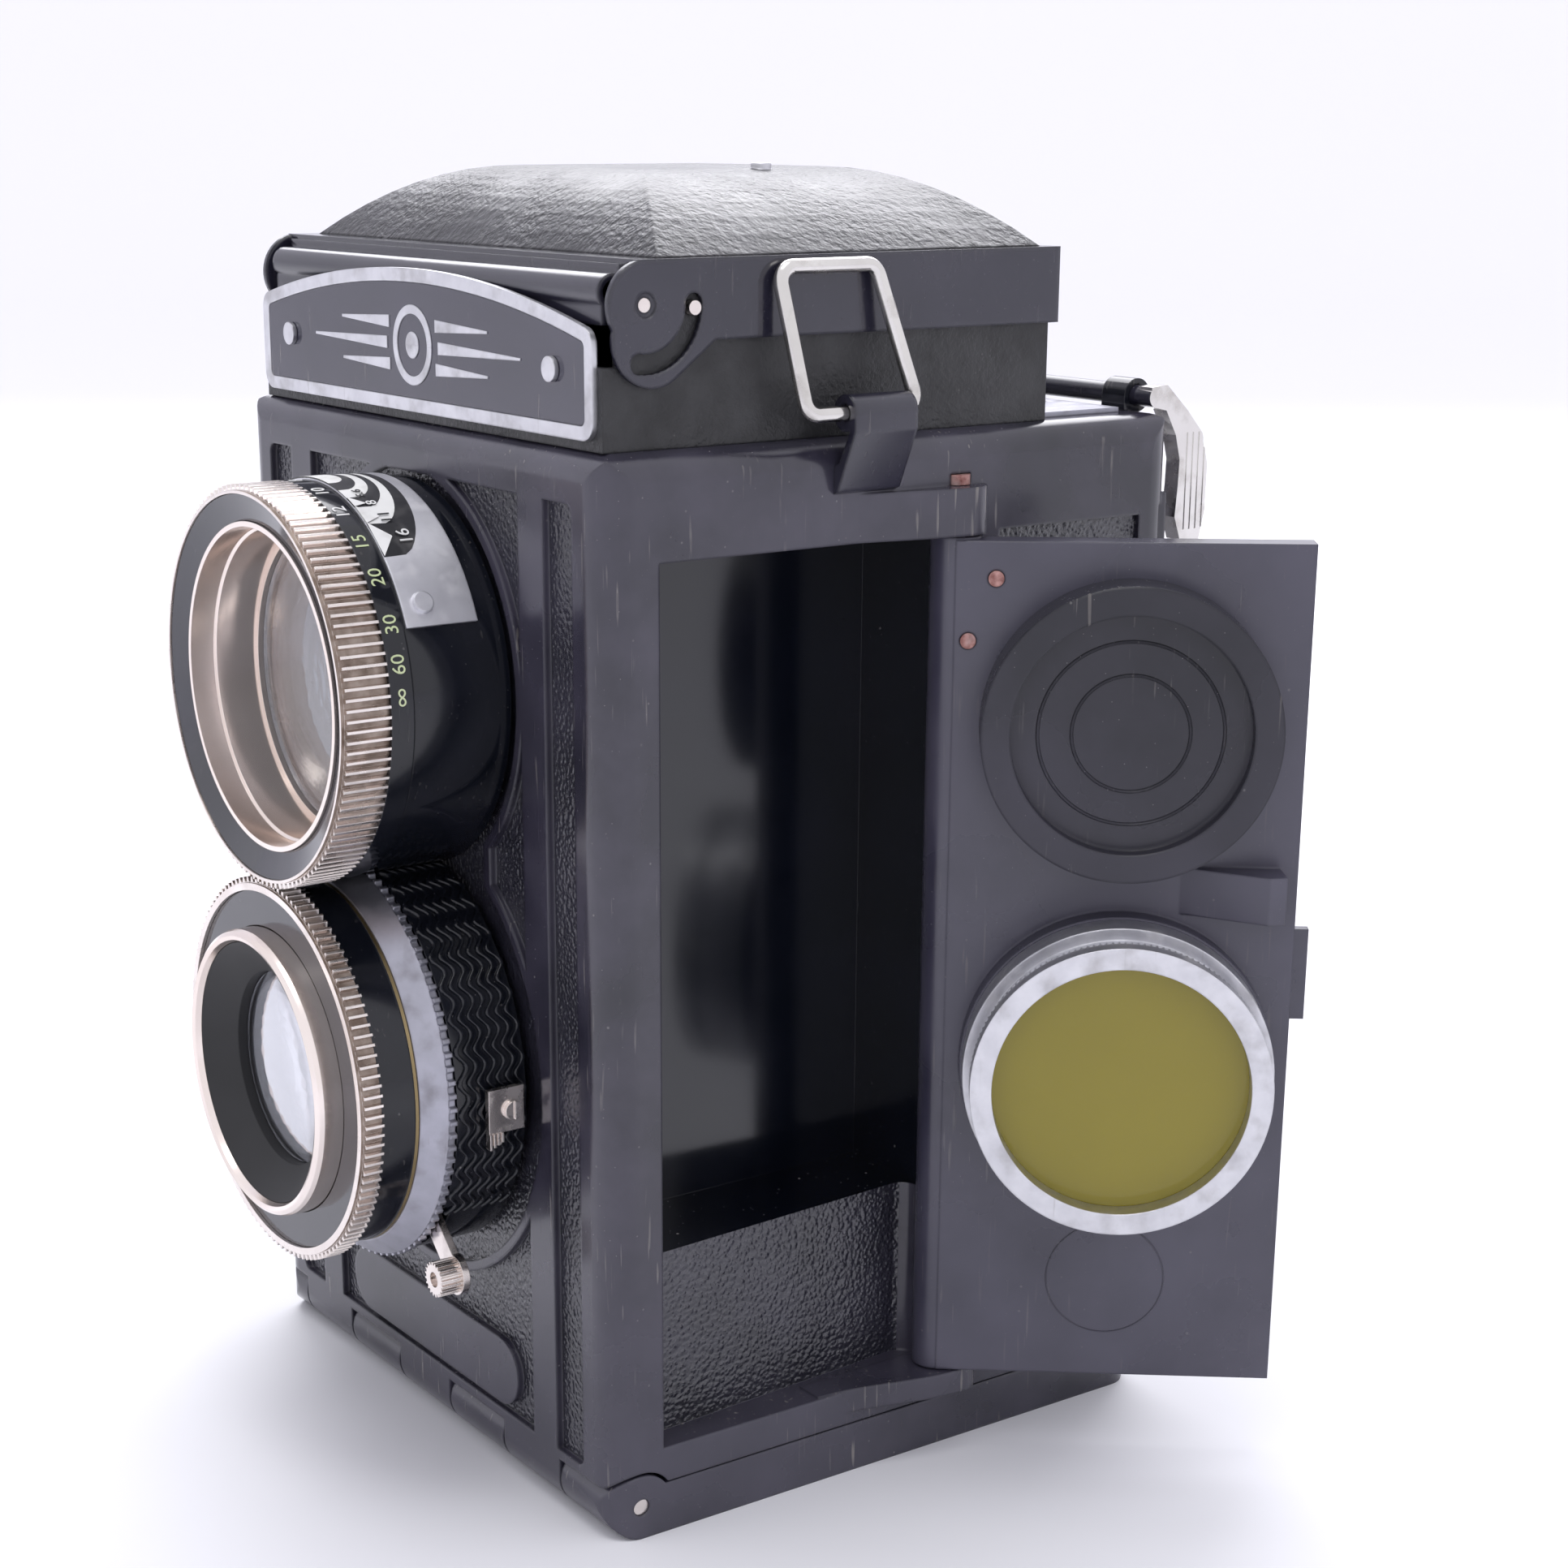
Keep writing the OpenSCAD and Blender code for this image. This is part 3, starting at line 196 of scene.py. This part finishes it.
BROWN_DIRT = (0.10, 0.06, 0.035)
M = {
    "bakelite": material("bakelite", (0.012, 0.0115, 0.020), (0.036, 0.033, 0.050), (0.09, 0.22),
                         scuff=0.6, dust=0.7, bevel=0.5, haze=0.35, shine=0.75),
    "panel_grain": material("panel_grain", (0.012, 0.012, 0.018), (0.028, 0.027, 0.040),
                            (0.12, 0.22), grain=("pebble", 1900, 0.26), dust=0.4, bevel=0.1,
                            shine=1.0),
    # Painted shade: the accessory compartment's walls and floor get a near-black colour, darker
    # than the bakelite they are moulded in, to stand in for the shade in the deep recess.
    "shaded_cavity": material("shaded_cavity", (0.002, 0.003, 0.006), (0.004, 0.005, 0.010), (0.10, 0.18),
                       dust=0.7, bevel=0.1, shine=0.7),
    "inner_door": material("inner_door", (0.032, 0.030, 0.050), (0.052, 0.049, 0.076), (0.20, 0.36),
                           scuff=0.3, dust=0.4, bevel=0.4, haze=0.5, shine=0.8),
    "leather": material("leather", (0.008, 0.008, 0.010), (0.020, 0.019, 0.024), (0.22, 0.38),
                        grain=("leather", 1100, 0.2), dust=0.5, bevel=0.4, tone=240.0),
    "cloth_black": material("cloth_black", (0.010, 0.010, 0.011), (0.026, 0.026, 0.028),
                            (0.34, 0.5), grain=("leather", 1500, 0.16), dust=0.7, bevel=0.3,
                            tone=240.0),
    "lacquer": material("lacquer", (0.004, 0.005, 0.008), (0.009, 0.010, 0.015), (0.05, 0.14),
                        scuff=0.2, dust=0.4, bevel=0.2),
    "ring_enamel": material("ring_enamel", (0.014, 0.014, 0.022), (0.022, 0.022, 0.032),
                            (0.06, 0.14), scuff=0.2, dust=0.4, bevel=0.1, shine=1.0),
    "lid_lacquer": material("lid_lacquer", (0.012, 0.0115, 0.022), (0.020, 0.019, 0.032),
                            (0.06, 0.16), scuff=0.2, dust=0.4, bevel=0.7, haze=0.15, shine=0.8),
    "matt_black": material("matt_black", (0.008, 0.008, 0.009), (0.018, 0.018, 0.02), (0.5, 0.68)),
    "enamel": material("enamel", (0.012, 0.011, 0.026), (0.020, 0.018, 0.038), (0.08, 0.16),
                       scuff=0.5, dust=0.4, haze=0.2, shine=1.0),
    "aluminium": material("aluminium", (0.60, 0.60, 0.63), (0.70, 0.70, 0.73), (0.26, 0.38),
                          metal=0.95, scuff=0.3, tone=420.0, dirt=((0.16, 0.14, 0.12), 0.25)),
    "plate_metal": material("plate_metal", (0.66, 0.66, 0.70), (0.76, 0.76, 0.80), (0.3, 0.42),
                            metal=0.75, scuff=0.3, tone=300.0, dirt=((0.30, 0.27, 0.24), 0.2)),
    "scale_metal": material("scale_metal", (0.37, 0.37, 0.42), (0.43, 0.43, 0.49), (0.28, 0.38),
                            metal=0.9, scuff=0.3, tone=420.0, dirt=((0.14, 0.12, 0.10), 0.25)),
    "nickel": material("nickel", (0.74, 0.67, 0.63), (0.88, 0.82, 0.78), (0.14, 0.28),
                       metal=1.0, dirt=(BROWN_DIRT, 0.12), bevel=0.12, tone=160.0),
    "cell_metal": material("cell_metal", (0.82, 0.72, 0.66), (0.92, 0.84, 0.79), (0.16, 0.26),
                           metal=0.96, bevel=0.12, tone=35.0),
    "groove_nickel": material("groove_nickel", (0.20, 0.15, 0.12), (0.42, 0.35, 0.30),
                              (0.35, 0.55), metal=0.8, dirt=(BROWN_DIRT, 0.5), bevel=0.05,
                              tone=500.0),
    "bright_wire": material("bright_wire", (0.62, 0.60, 0.57), (0.78, 0.76, 0.73), (0.10, 0.22),
                            metal=1.0, dirt=(BROWN_DIRT, 0.3), bevel=0.05),
    "brass_line": material("brass_line", (0.30, 0.23, 0.12), (0.44, 0.34, 0.18), (0.3, 0.45),
                           metal=1.0, bevel=0.05),
    "copper": material("copper", (0.20, 0.07, 0.06), (0.52, 0.30, 0.27), (0.3, 0.5), metal=0.5,
                       dirt=((0.62, 0.54, 0.52), 0.7), bevel=0.15, tone=1300.0),
    "blued": material("blued", (0.03, 0.032, 0.04), (0.07, 0.075, 0.085), (0.25, 0.4), metal=1.0),
    "cap": material("cap", (0.012, 0.012, 0.018), (0.022, 0.021, 0.030), (0.18, 0.32),
                    scuff=0.5, dust=0.7, bevel=0.6, haze=0.25),
    "spool": material("spool", (0.02, 0.016, 0.014), (0.05, 0.04, 0.034), (0.35, 0.5)),
    "white_ink": material("white_ink", (0.70, 0.70, 0.70), (0.85, 0.85, 0.83), (0.4, 0.55),
                          bevel=0.02, dirt=((0.2, 0.18, 0.15), 0.3)),
    "green_ink": material("green_ink", (0.50, 0.58, 0.32), (0.66, 0.72, 0.46), (0.4, 0.55),
                          bevel=0.02),
    "black_ink": material("black_ink", (0.008, 0.008, 0.01), (0.016, 0.016, 0.02), (0.25, 0.4),
                          bevel=0.02, dirt=((0.25, 0.24, 0.24), 0.2)),
    "lens_glass": glass("lens_glass", (0.93, 0.95, 0.99), silver=0.08),
    "bright_glass": glass("bright_glass", (0.93, 0.94, 0.98), silver=0.45),
    "screen": glass("screen", (0.9, 0.92, 0.92), rough=0.35),
    "yellow_glass": glass("yellow_glass", (0.37, 0.31, 0.035), transmission=0.35),
    "red_glass": glass("red_glass", (0.5, 0.02, 0.01)),
    "mirror_glass": material("mirror_glass", (0.86, 0.87, 0.89), (0.9, 0.9, 0.92), (0.02, 0.05),
                             metal=1.0, dust=0.5),
}

LOOK = {
    "bakelite": ["body_shell", "back_cover"],
    "inner_door": ["accessory_door"],
    "panel_grain": ["left_side_plate"],
    "aluminium": ["nameplate", "nameplate_rivets", "filter_rim"],
    "plate_metal": ["depth_scale_plate"],
    "enamel": ["nameplate_field"],
    "lacquer": ["viewing_barrel", "distance_band", "taking_barrel", "shutter_housing",
                "latch_bushes", "window_slide", "winding_knob"],
    "ring_enamel": ["viewing_bezel", "taking_name_ring"],
    "lid_lacquer": ["hood_lid", "strap_brackets"],
    "matt_black": ["taking_inner_cone", "hood_wing_left", "hood_wing_right", "film_gate"],
    "cell_metal": ["viewing_lens_cell", "taking_filter_rim"],
    "nickel": ["viewing_focus_ring", "taking_focus_ring", "cocking_lever", "aperture_lever",
               "release_lever", "hood_pivot_pins", "back_hinge_pin", "tripod_bush",
               "supply_spindle"],
    "bright_wire": ["bail_left", "bail_right", "back_latch"],
    "scale_metal": ["speed_ring", "deck_plate", "film_roller_upper", "film_roller_lower",
                    "counter_dial"],
    "blued": ["shutter_blades", "pressure_plate"],
    "lens_glass": ["viewing_front_element", "viewing_rear_element", "taking_rear_element"],
    "bright_glass": ["taking_front_element"],
    "leather": ["lid_leather"],
    "cloth_black": ["hood_base"],
    "screen": ["focusing_screen"],
    "mirror_glass": ["mirror"],
    "copper": ["door_hinge_pin", "door_rivets"],
    "cap": ["lens_cap"],
    "yellow_glass": ["filter_glass"],
    "red_glass": ["red_window"],
    "spool": ["take_up_spool", "supply_spool"],
}
for look, names in LOOK.items():
    for name in names:
        mats = NODES[name].data.materials
        mats.clear()
        mats.append(M[look])


def paint(name, look, test):
    """Gives another material to the faces of a CAD node that pass a test, in mm."""
    mesh = NODES[name].data
    mesh.materials.append(M[look])
    slot = len(mesh.materials) - 1
    for p in mesh.polygons:
        if test(Vector(p.center) / MM, p.normal):
            p.material_index = slot


def near(a, b, tol=0.08):
    return abs(a - b) < tol


# Floors of the moulded panels, the bounds of the accessory compartment and the lid's rivet, mm
FRONT_FLOOR, SIDE_FLOOR, BACK_FLOOR, RECESS_FLOOR = -39.35, 41.5, 39.75, 38.2
STORE_FLOOR, STORE_TOP, STORE_X, STORE_Y = 33.0, 112.9, 24.5, (-33.4, 7.1)
RIVET_X, RIVET_Y, RIVET_R, RIVET_Z = 16, -2, 1.3, 151.7
paint("body_shell", "panel_grain", lambda c, n: n.y < -0.9 and near(c.y, FRONT_FLOOR))
paint("body_shell", "panel_grain", lambda c, n: abs(n.x) > 0.9 and near(abs(c.x), SIDE_FLOOR))
paint("body_shell", "panel_grain",
      lambda c, n: n.x > 0.9 and 35.5 < c.x < RECESS_FLOOR + 0.1 and c.z < STORE_FLOOR)
# Painted shade: near-black colour on the faces inside the accessory compartment.
paint("body_shell", "shaded_cavity",
      lambda c, n: STORE_X - 0.1 < c.x < RECESS_FLOOR and STORE_Y[0] < c.y < STORE_Y[1]
      and STORE_FLOOR - 0.1 < c.z < STORE_TOP)
paint("back_cover", "panel_grain", lambda c, n: n.y > 0.9 and near(c.y, BACK_FLOOR))
paint("lid_leather", "aluminium",
      lambda c, n: math.hypot(c.x - RIVET_X, c.y - RIVET_Y) < RIVET_R and c.z > RIVET_Z)
paint("taking_barrel", "brass_line", lambda c, n: c.y > -53.5 and n.y > -0.9)
paint("back_latch", "lid_lacquer", lambda c, n: c.x < 36.9)
VIEW_Z, TAKE_Z, ROOT_R = 95.7, 50.1, 22.5
for ring, axis_z in (("viewing_focus_ring", VIEW_Z), ("taking_focus_ring", TAKE_Z)):
    paint(ring, "groove_nickel",
          lambda c, n, z=axis_z: 22.2 < math.hypot(c.x, c.z - z) < ROOT_R and abs(n.y) < 0.5)

# ---- added pieces -----------------------------------------------------------


def piece(name, verts, faces, look, body):
    """Mesh piece from points in mm that rides on a body."""
    mesh = bpy.data.meshes.new(name)
    mesh.from_pydata([Vector(v) * MM for v in verts], [], faces)
    mesh.validate()
    mesh.materials.append(M[look])
    obj = bpy.data.objects.new(name, mesh)
    bpy.context.scene.collection.objects.link(obj)
    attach(obj, body)
    return obj


def glyphs(text, size, thick):
    """Vertices and faces of a number, centred, x along the line and y up, in mm."""
    curve = bpy.data.curves.new("glyph", "FONT")
    curve.body, curve.size = text, size
    curve.align_x, curve.align_y = "CENTER", "CENTER"
    curve.extrude, curve.resolution_u = thick / 2, 3
    obj = bpy.data.objects.new("glyph", curve)
    bpy.context.scene.collection.objects.link(obj)
    bpy.context.view_layer.update()
    mesh = bpy.data.meshes.new_from_object(obj)
    verts = [tuple(v.co) for v in mesh.vertices]
    faces = [tuple(p.vertices) for p in mesh.polygons]
    bpy.data.objects.remove(obj)
    return verts, faces


def on_barrel(axis_z, radius, angle, y):
    """Point on a cylinder about a lens axis; angle 0 is +X and 90 is up."""
    a = math.radians(angle)
    return (radius * math.cos(a), y, axis_z + radius * math.sin(a))


def barrel_numbers(name, labels, size, axis_z, radius, y, look, body):
    """Numbers wrapped on a barrel, reading upwards with their tops to the front."""
    verts, faces = [], []
    for text, angle, dy in labels:
        v, f = glyphs(text, size, 0.06)
        base = len(verts)
        verts += [on_barrel(axis_z, radius + 0.04 + z, angle + math.degrees(x / radius),
                            y + dy - up) for x, up, z in v]
        faces += [tuple(base + i for i in face) for face in f]
    piece(name, verts, faces, look, body)


BAND_R, PLATE_R, HOUSING_R = 22.85, 23.0, 24.2
barrel_numbers("distance_marks_far", [("∞", 5, 0), ("60", 14, 0), ("30", 25, 0), ("20", 39, 0),
                                      ("15", 51, 0)],
               2.3, VIEW_Z, BAND_R, -53.9, "green_ink", "viewing_lens")
barrel_numbers("distance_marks_near", [("12", 64, 0), ("10", 77, 0), ("8", 92, 0), ("6", 110, 0),
                                       ("5", 127, 0), ("4", 147, 0)],
               2.3, VIEW_Z, BAND_R, -53.9, "white_ink", "viewing_lens")


def plate_solid(name, outline, lift, look):
    """Thin flat shape on the curved scale plate: outline is a grid of (angle, y) rows."""
    rows, cols = len(outline), len(outline[0])
    verts = [on_barrel(VIEW_Z, PLATE_R + lift - sink, a, y)
             for sink in (0, 0.05) for row in outline for a, y in row]
    count, faces = rows * cols, []
    for i in range(rows - 1):
        for j in range(cols - 1):
            a, b = i * cols + j, (i + 1) * cols + j
            faces += [(a, a + 1, b + 1, b),
                      (count + a, count + b, count + b + 1, count + a + 1)]
    edge = [(0, j) for j in range(cols)] + [(i, cols - 1) for i in range(1, rows)]
    edge += [(rows - 1, j) for j in range(cols - 2, -1, -1)]
    edge += [(i, 0) for i in range(rows - 2, 0, -1)]
    for k, (i, j) in enumerate(edge):
        i2, j2 = edge[(k + 1) % len(edge)]
        a, b = i * cols + j, i2 * cols + j2
        faces.append((b, a, count + a, count + b))
    piece(name, verts, faces, look, "camera_body")


PLATE_FRONT = -52.15


def lobe(name, tip, half, depth, lift, look):
    """Tongue of the depth-of-field scale: pointed at the front, rounded to the rear."""
    n, m = 40, 10
    rows = []
    for i in range(n + 1):
        s = 2.0 * i / n - 1.0
        reach = depth * max(0.0, 1.0 - abs(s) ** 3.0) ** 0.5
        row = []
        for j in range(m + 1):
            d = reach * j / m
            width = tip + (half - tip) * min(1.0, d / (0.5 * depth))
            row.append((90 + width * s, PLATE_FRONT + d))
        rows.append(row)
    plate_solid(name, rows, lift, look)


LOBES = [(45.2, 48.0, 7.2), (32.8, 35.5, 6.1), (25.1, 27.0, 5.4), (20.1, 21.0, 4.6),
         (14.9, 15.6, 3.6), (9.0, 9.6, 2.6)]
for k, (tip, half, depth) in enumerate(LOBES):
    lobe("field_lobe_%d" % k, tip, half, depth, 0.03 * (k + 1),
         "black_ink" if k % 2 == 0 else "white_ink")
for k, (outer, inner, peak, depth) in enumerate(
        [(45.2, 32.8, 38.6, 2.0), (32.8, 25.1, 30.4, 1.9), (25.1, 20.1, 23.9, 1.5)]):
    for side in (-1, 1):
        edges = [[(90 + side * outer, PLATE_FRONT), (90 + side * inner, PLATE_FRONT)],
                 [(90 + side * (peak + 0.15), PLATE_FRONT + depth),
                  (90 + side * (peak - 0.15), PLATE_FRONT + depth)]]
        plate_solid("field_point_%d_%s" % (k, "r" if side < 0 else "l"), edges, 0.24, "white_ink")
for k, (text, off, y) in enumerate([("16", 39.0, -48.6), ("11", 31.0, -49.5), ("8", 24.0, -49.9),
                                    ("5.6", 18.2, -50.3)]):
    barrel_numbers("field_marks_%s" % text.replace(".", "_"),
                   [(text, 90 - off, 0), (text, 90 + off, 0)], 2.3 - 0.25 * k, VIEW_Z,
                   PLATE_R + 0.21, y, "white_ink" if k % 2 == 0 else "black_ink",
                   "camera_body")


WAVE_SHAPE = [(-1, -0.08), (-0.8, 0.22), (-0.4, 0.40), (0.4, 0.40), (0.8, 0.22), (1, -0.08)]


def wave_rows(name, radius, rows, spans, amp, length, width):
    """Wavy raised lines that run round the housing, side by side from front to rear."""
    verts, faces, n = [], [], len(WAVE_SHAPE)
    for y in rows:
        for lo, hi in spans:
            steps = int((hi - lo) * math.radians(1) * radius / 0.28)
            base = len(verts)
            for i in range(steps + 1):
                a = lo + (hi - lo) * i / steps
                swing = amp * math.sin(2 * math.pi * math.radians(a) * radius / length)
                for off, lift in WAVE_SHAPE:
                    verts.append(on_barrel(TAKE_Z, radius + lift, a, y + swing + off * width / 2))
            for i in range(steps):
                for j in range(n):
                    a, b = base + i * n + j, base + i * n + (j + 1) % n
                    faces.append((a, a + n, b + n, b))
            faces.append(tuple(base + j for j in range(n)))
            faces.append(tuple(base + steps * n + j for j in reversed(range(n))))
    return piece(name, verts, faces, "lacquer", "camera_body")


WAVE_SPANS = [(-36, 148), (164, 250)]
wave_rows("housing_waves", HOUSING_R, [-48.35 + 1.22 * k for k in range(7)], WAVE_SPANS,
          0.55, 3.7, 0.72)


def loop_faces(count, n):
    """Faces between loops of n points that follow each other round a ring."""
    return [(i * n + j, i * n + (j + 1) % n, ((i + 1) % count) * n + (j + 1) % n,
             ((i + 1) % count) * n + j) for i in range(count) for j in range(n)]


def ring_of(points, count):
    """Revolves a loop of (radius, height) points about z; returns verts and faces."""
    verts = [(r * math.cos(2 * math.pi * i / count), r * math.sin(2 * math.pi * i / count), h)
             for i in range(count) for r, h in points]
    return verts, loop_faces(count, len(points))


def knurled_ring(teeth, tip, root, inner, low, high):
    """Ring about z with a toothed outer face; returns verts and faces."""
    verts = []
    for i in range(teeth * 2):
        a = math.pi * i / teeth
        r = tip if i % 2 else root
        verts += [(r * math.cos(a), r * math.sin(a), h) for h in (low, high)]
        verts += [(inner * math.cos(a), inner * math.sin(a), h) for h in (high, low)]
    return verts, loop_faces(teeth * 2, 4)


DOOR_PIN, DOOR_OPEN, DOOR_IN = (41.4, 7.2), math.radians(141.7), 3.0


def door_point(u, z, lift):
    """Point on the open door: u from the pin, z up, lift above the inner face."""
    c, s = math.cos(DOOR_OPEN), math.sin(DOOR_OPEN)
    x, y = -DOOR_IN - lift, -u
    return (DOOR_PIN[0] + c * x - s * y, DOOR_PIN[1] + s * x + c * y, z)


def on_door(name, local, faces, u0, z0, look):
    """Piece whose local points are (along the door, up, above its face)."""
    piece(name, [door_point(u0 + a, z0 + b, h) for a, b, h in local], faces, look,
          "accessory_door")


STORE_U, CAP_Z, CAP_FLOOR, FILTER_Z = 20.0, 91.4, 3.95, 51.4
for k, radius in enumerate((10.2, 6.4)):
    v, f = ring_of([(radius, CAP_FLOOR), (radius + 0.5, CAP_FLOOR),
                    (radius + 0.35, CAP_FLOOR + 0.23), (radius + 0.15, CAP_FLOOR + 0.23)], 96)
    on_door("cap_ring_%d" % k, v, f, STORE_U, CAP_Z, "cap")
v, f = knurled_ring(150, tip=17.2, root=16.9, inner=16.55, low=9.15, high=10.05)
on_door("filter_knurl", v, f, STORE_U, FILTER_Z, "aluminium")
MARK_Z = 23.7
v, f = ring_of([(6.9, -0.05), (7.15, -0.05), (7.1, 0.07), (6.95, 0.07)], 96)
on_door("door_mould_mark", v, f, STORE_U, MARK_Z, "inner_door")


def flat_shape(verts, faces, outline, y0, y1):
    """Adds a flat shape, given as (x, z) points, between two depths."""
    base, n = len(verts), len(outline)
    verts.extend((x, y, z) for y in (y0, y1) for x, z in outline)
    faces.append(tuple(base + i for i in range(n)))
    faces.append(tuple(base + n + i for i in reversed(range(n))))
    for i in range(n):
        j = (i + 1) % n
        faces.append((base + j, base + i, base + n + i, base + n + j))


EMBLEM_Y, EMBLEM_Z = (-39.15, -39.02), 132.9


def emblem():
    """Plain ring between tapering bars, in place of any lettering."""
    verts, faces = [], []
    (y0, y1), mid = EMBLEM_Y, EMBLEM_Z
    for inner, outer, parts in ((3.5, 4.5, 72), (0.0, 1.5, 36)):
        for i in range(parts):
            a, b = 2 * math.pi * i / parts, 2 * math.pi * (i + 1) / parts
            ring = [(inner * math.cos(a), mid + inner * math.sin(a)),
                    (outer * math.cos(a), mid + outer * math.sin(a)),
                    (outer * math.cos(b), mid + outer * math.sin(b)),
                    (inner * math.cos(b), mid + inner * math.sin(b))]
            flat_shape(verts, faces, ring if inner else ring[:3], y0, y1)
    for side in (-1, 1):
        for dz, start, end in ((-2.4, 5.4, 17.0), (0.0, 6.0, 24.0), (2.4, 5.4, 17.0)):
            bar = [(side * start, mid + dz - 0.7), (side * end, mid + dz - 0.15),
                   (side * end, mid + dz + 0.15), (side * start, mid + dz + 0.7)]
            flat_shape(verts, faces, bar if side > 0 else bar[::-1], y0, y1)
    piece("plate_emblem", verts, faces, "aluminium", "camera_body")


emblem()


def rounded_path(corners, radius, steps):
    """Closed path of 2-D points whose corners are arcs."""
    path, n = [], len(corners)
    for i in range(n):
        p = Vector(corners[i])
        u = (Vector(corners[i - 1]) - p).normalized()
        v = (Vector(corners[(i + 1) % n]) - p).normalized()
        half = u.angle(v) / 2
        reach, centre = radius / math.tan(half), p + (u + v).normalized() * radius / math.sin(half)
        a = p + u * reach - centre
        b = p + v * reach - centre
        sweep = a.angle(b)
        for k in range(steps + 1):
            f = k / steps
            path.append(centre + (a * math.sin((1 - f) * sweep) + b * math.sin(f * sweep))
                        / math.sin(sweep))
    return path


WIRE_R, BAIL_X, BAIL_Z, BAIL_LEAN = 0.85, 43.9, 127.3, math.radians(10.5)


def bail(side, name):
    """Bent wire loop that leans towards the hood."""
    lean = BAIL_LEAN
    path = rounded_path([(-15.6, 0.0), (-17.6, 15.6), (-4.6, 15.6), (-0.6, 0.0)], 1.7, 8)
    verts, faces, n, m = [], [], len(path), 16
    for i, p in enumerate(path):
        along = (path[(i + 1) % n] - path[i - 1]).normalized()
        for k in range(m):
            a = 2 * math.pi * k / m
            out = WIRE_R * math.cos(a)
            y, z, x = p.x - along.y * out, p.y + along.x * out, WIRE_R * math.sin(a)
            verts.append((side * (BAIL_X + x * math.cos(lean) - z * math.sin(lean)), y,
                          BAIL_Z + z * math.cos(lean) + x * math.sin(lean)))
    for i in range(n):
        for k in range(m):
            quad = (i * m + k, i * m + (k + 1) % m, (i + 1) % n * m + (k + 1) % m,
                    (i + 1) % n * m + k)
            faces.append(quad if side < 0 else quad[::-1])
    obj = piece(name + "_wire", verts, faces, "bright_wire", name)
    for poly in obj.data.polygons:
        poly.use_smooth = True
    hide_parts(name)


bail(1, "bail_right")
bail(-1, "bail_left")

# ---- floor, light and camera ------------------------------------------------


def backdrop():
    """Pale seamless sweep behind and under the camera, painted darker near it as shade that offsets
    the lamps' stronger light there.
    """
    profile = [(-2.5, 0), (2.0, 0)]
    profile += [(2.0 + 1.2 * math.sin(a), 1.2 - 1.2 * math.cos(a))
                for a in (math.pi / 2 * i / 16 for i in range(1, 17))]
    profile.append((3.2, 6.0))
    back = Vector((-0.79, 0.545, 0)).normalized()
    side = Vector((back.y, -back.x, 0))
    verts = [back * d + side * w + Vector((0, 0, z)) for d, z in profile for w in (-7.0, 7.0)]
    faces = [(i * 2, i * 2 + 1, i * 2 + 3, i * 2 + 2) for i in range(len(profile) - 1)]
    mesh = bpy.data.meshes.new("backdrop")
    mesh.from_pydata(verts, [], faces)
    for p in mesh.polygons:
        p.use_smooth = True
    t = Tree("backdrop")
    far = t.node("ShaderNodeVectorMath", {0: t.coord}, operation="LENGTH").outputs["Value"]
    # Painted shade: the floor colour runs from darker near the camera to pale far off, to offset
    # the lamps' pool of light.
    tone = t.mix(t.ramp(far, 0.2, 1.3), (0.79, 0.79, 0.82, 1), (0.97, 0.965, 1.0, 1))
    t.link(t.mix(t.noise(3.0, 2.0), tone, t.mix(0.97, (0.8, 0.8, 0.85, 1), tone)),
           t.bsdf.inputs["Base Color"])
    t.bsdf.inputs["Roughness"].default_value = 0.7
    mesh.materials.append(t.mat)
    obj = bpy.data.objects.new("backdrop", mesh)
    bpy.context.scene.collection.objects.link(obj)


def area_light(name, place, target, size, power, colour=(1, 1, 1)):
    """Soft rectangular light that faces a target."""
    data = bpy.data.lights.new(name, "AREA")
    data.shape, data.size, data.size_y = "RECTANGLE", size[0], size[1]
    data.energy, data.color = power, colour
    obj = bpy.data.objects.new(name, data)
    obj.location = place
    obj.rotation_euler = (Vector(target) - Vector(place)).to_track_quat("-Z", "Y").to_euler()
    bpy.context.scene.collection.objects.link(obj)


backdrop()
MID = (0, 0, 0.07)
area_light("back_top", (-0.60, 0.45, 0.70), MID, (0.9, 0.55), 6.5, (0.97, 0.97, 1.0))
area_light("key_top", (0.05, -0.10, 0.95), MID, (0.45, 0.45), 2.4)
world = bpy.data.worlds.new("studio")
world.use_nodes = True
world.node_tree.nodes["Background"].inputs[0].default_value = (0.94, 0.935, 1.0, 1)
world.node_tree.nodes["Background"].inputs[1].default_value = 1.06
bpy.context.scene.world = world
bpy.context.scene.view_settings.view_transform = "Standard"

cam_data = bpy.data.cameras.new("camera")
cam_data.sensor_width = 36.0
cam_data.lens = 64.1
cam_data.shift_x, cam_data.shift_y = 0.0431, 0.0979
cam_data.clip_start, cam_data.clip_end = 0.01, 50.0
cam = bpy.data.objects.new("camera", cam_data)
right = Vector((0.56729, 0.82352, 0.00092))
up = Vector((-0.23258, 0.15914, 0.95947))
back = Vector((0.78999, -0.54451, 0.28181))
turn = Matrix((right, up, back)).transposed().to_4x4()
cam.matrix_world = Matrix.Translation(Vector((0.28576, -0.19402, 0.15774))) @ turn
bpy.context.scene.collection.objects.link(cam)
bpy.context.scene.camera = cam
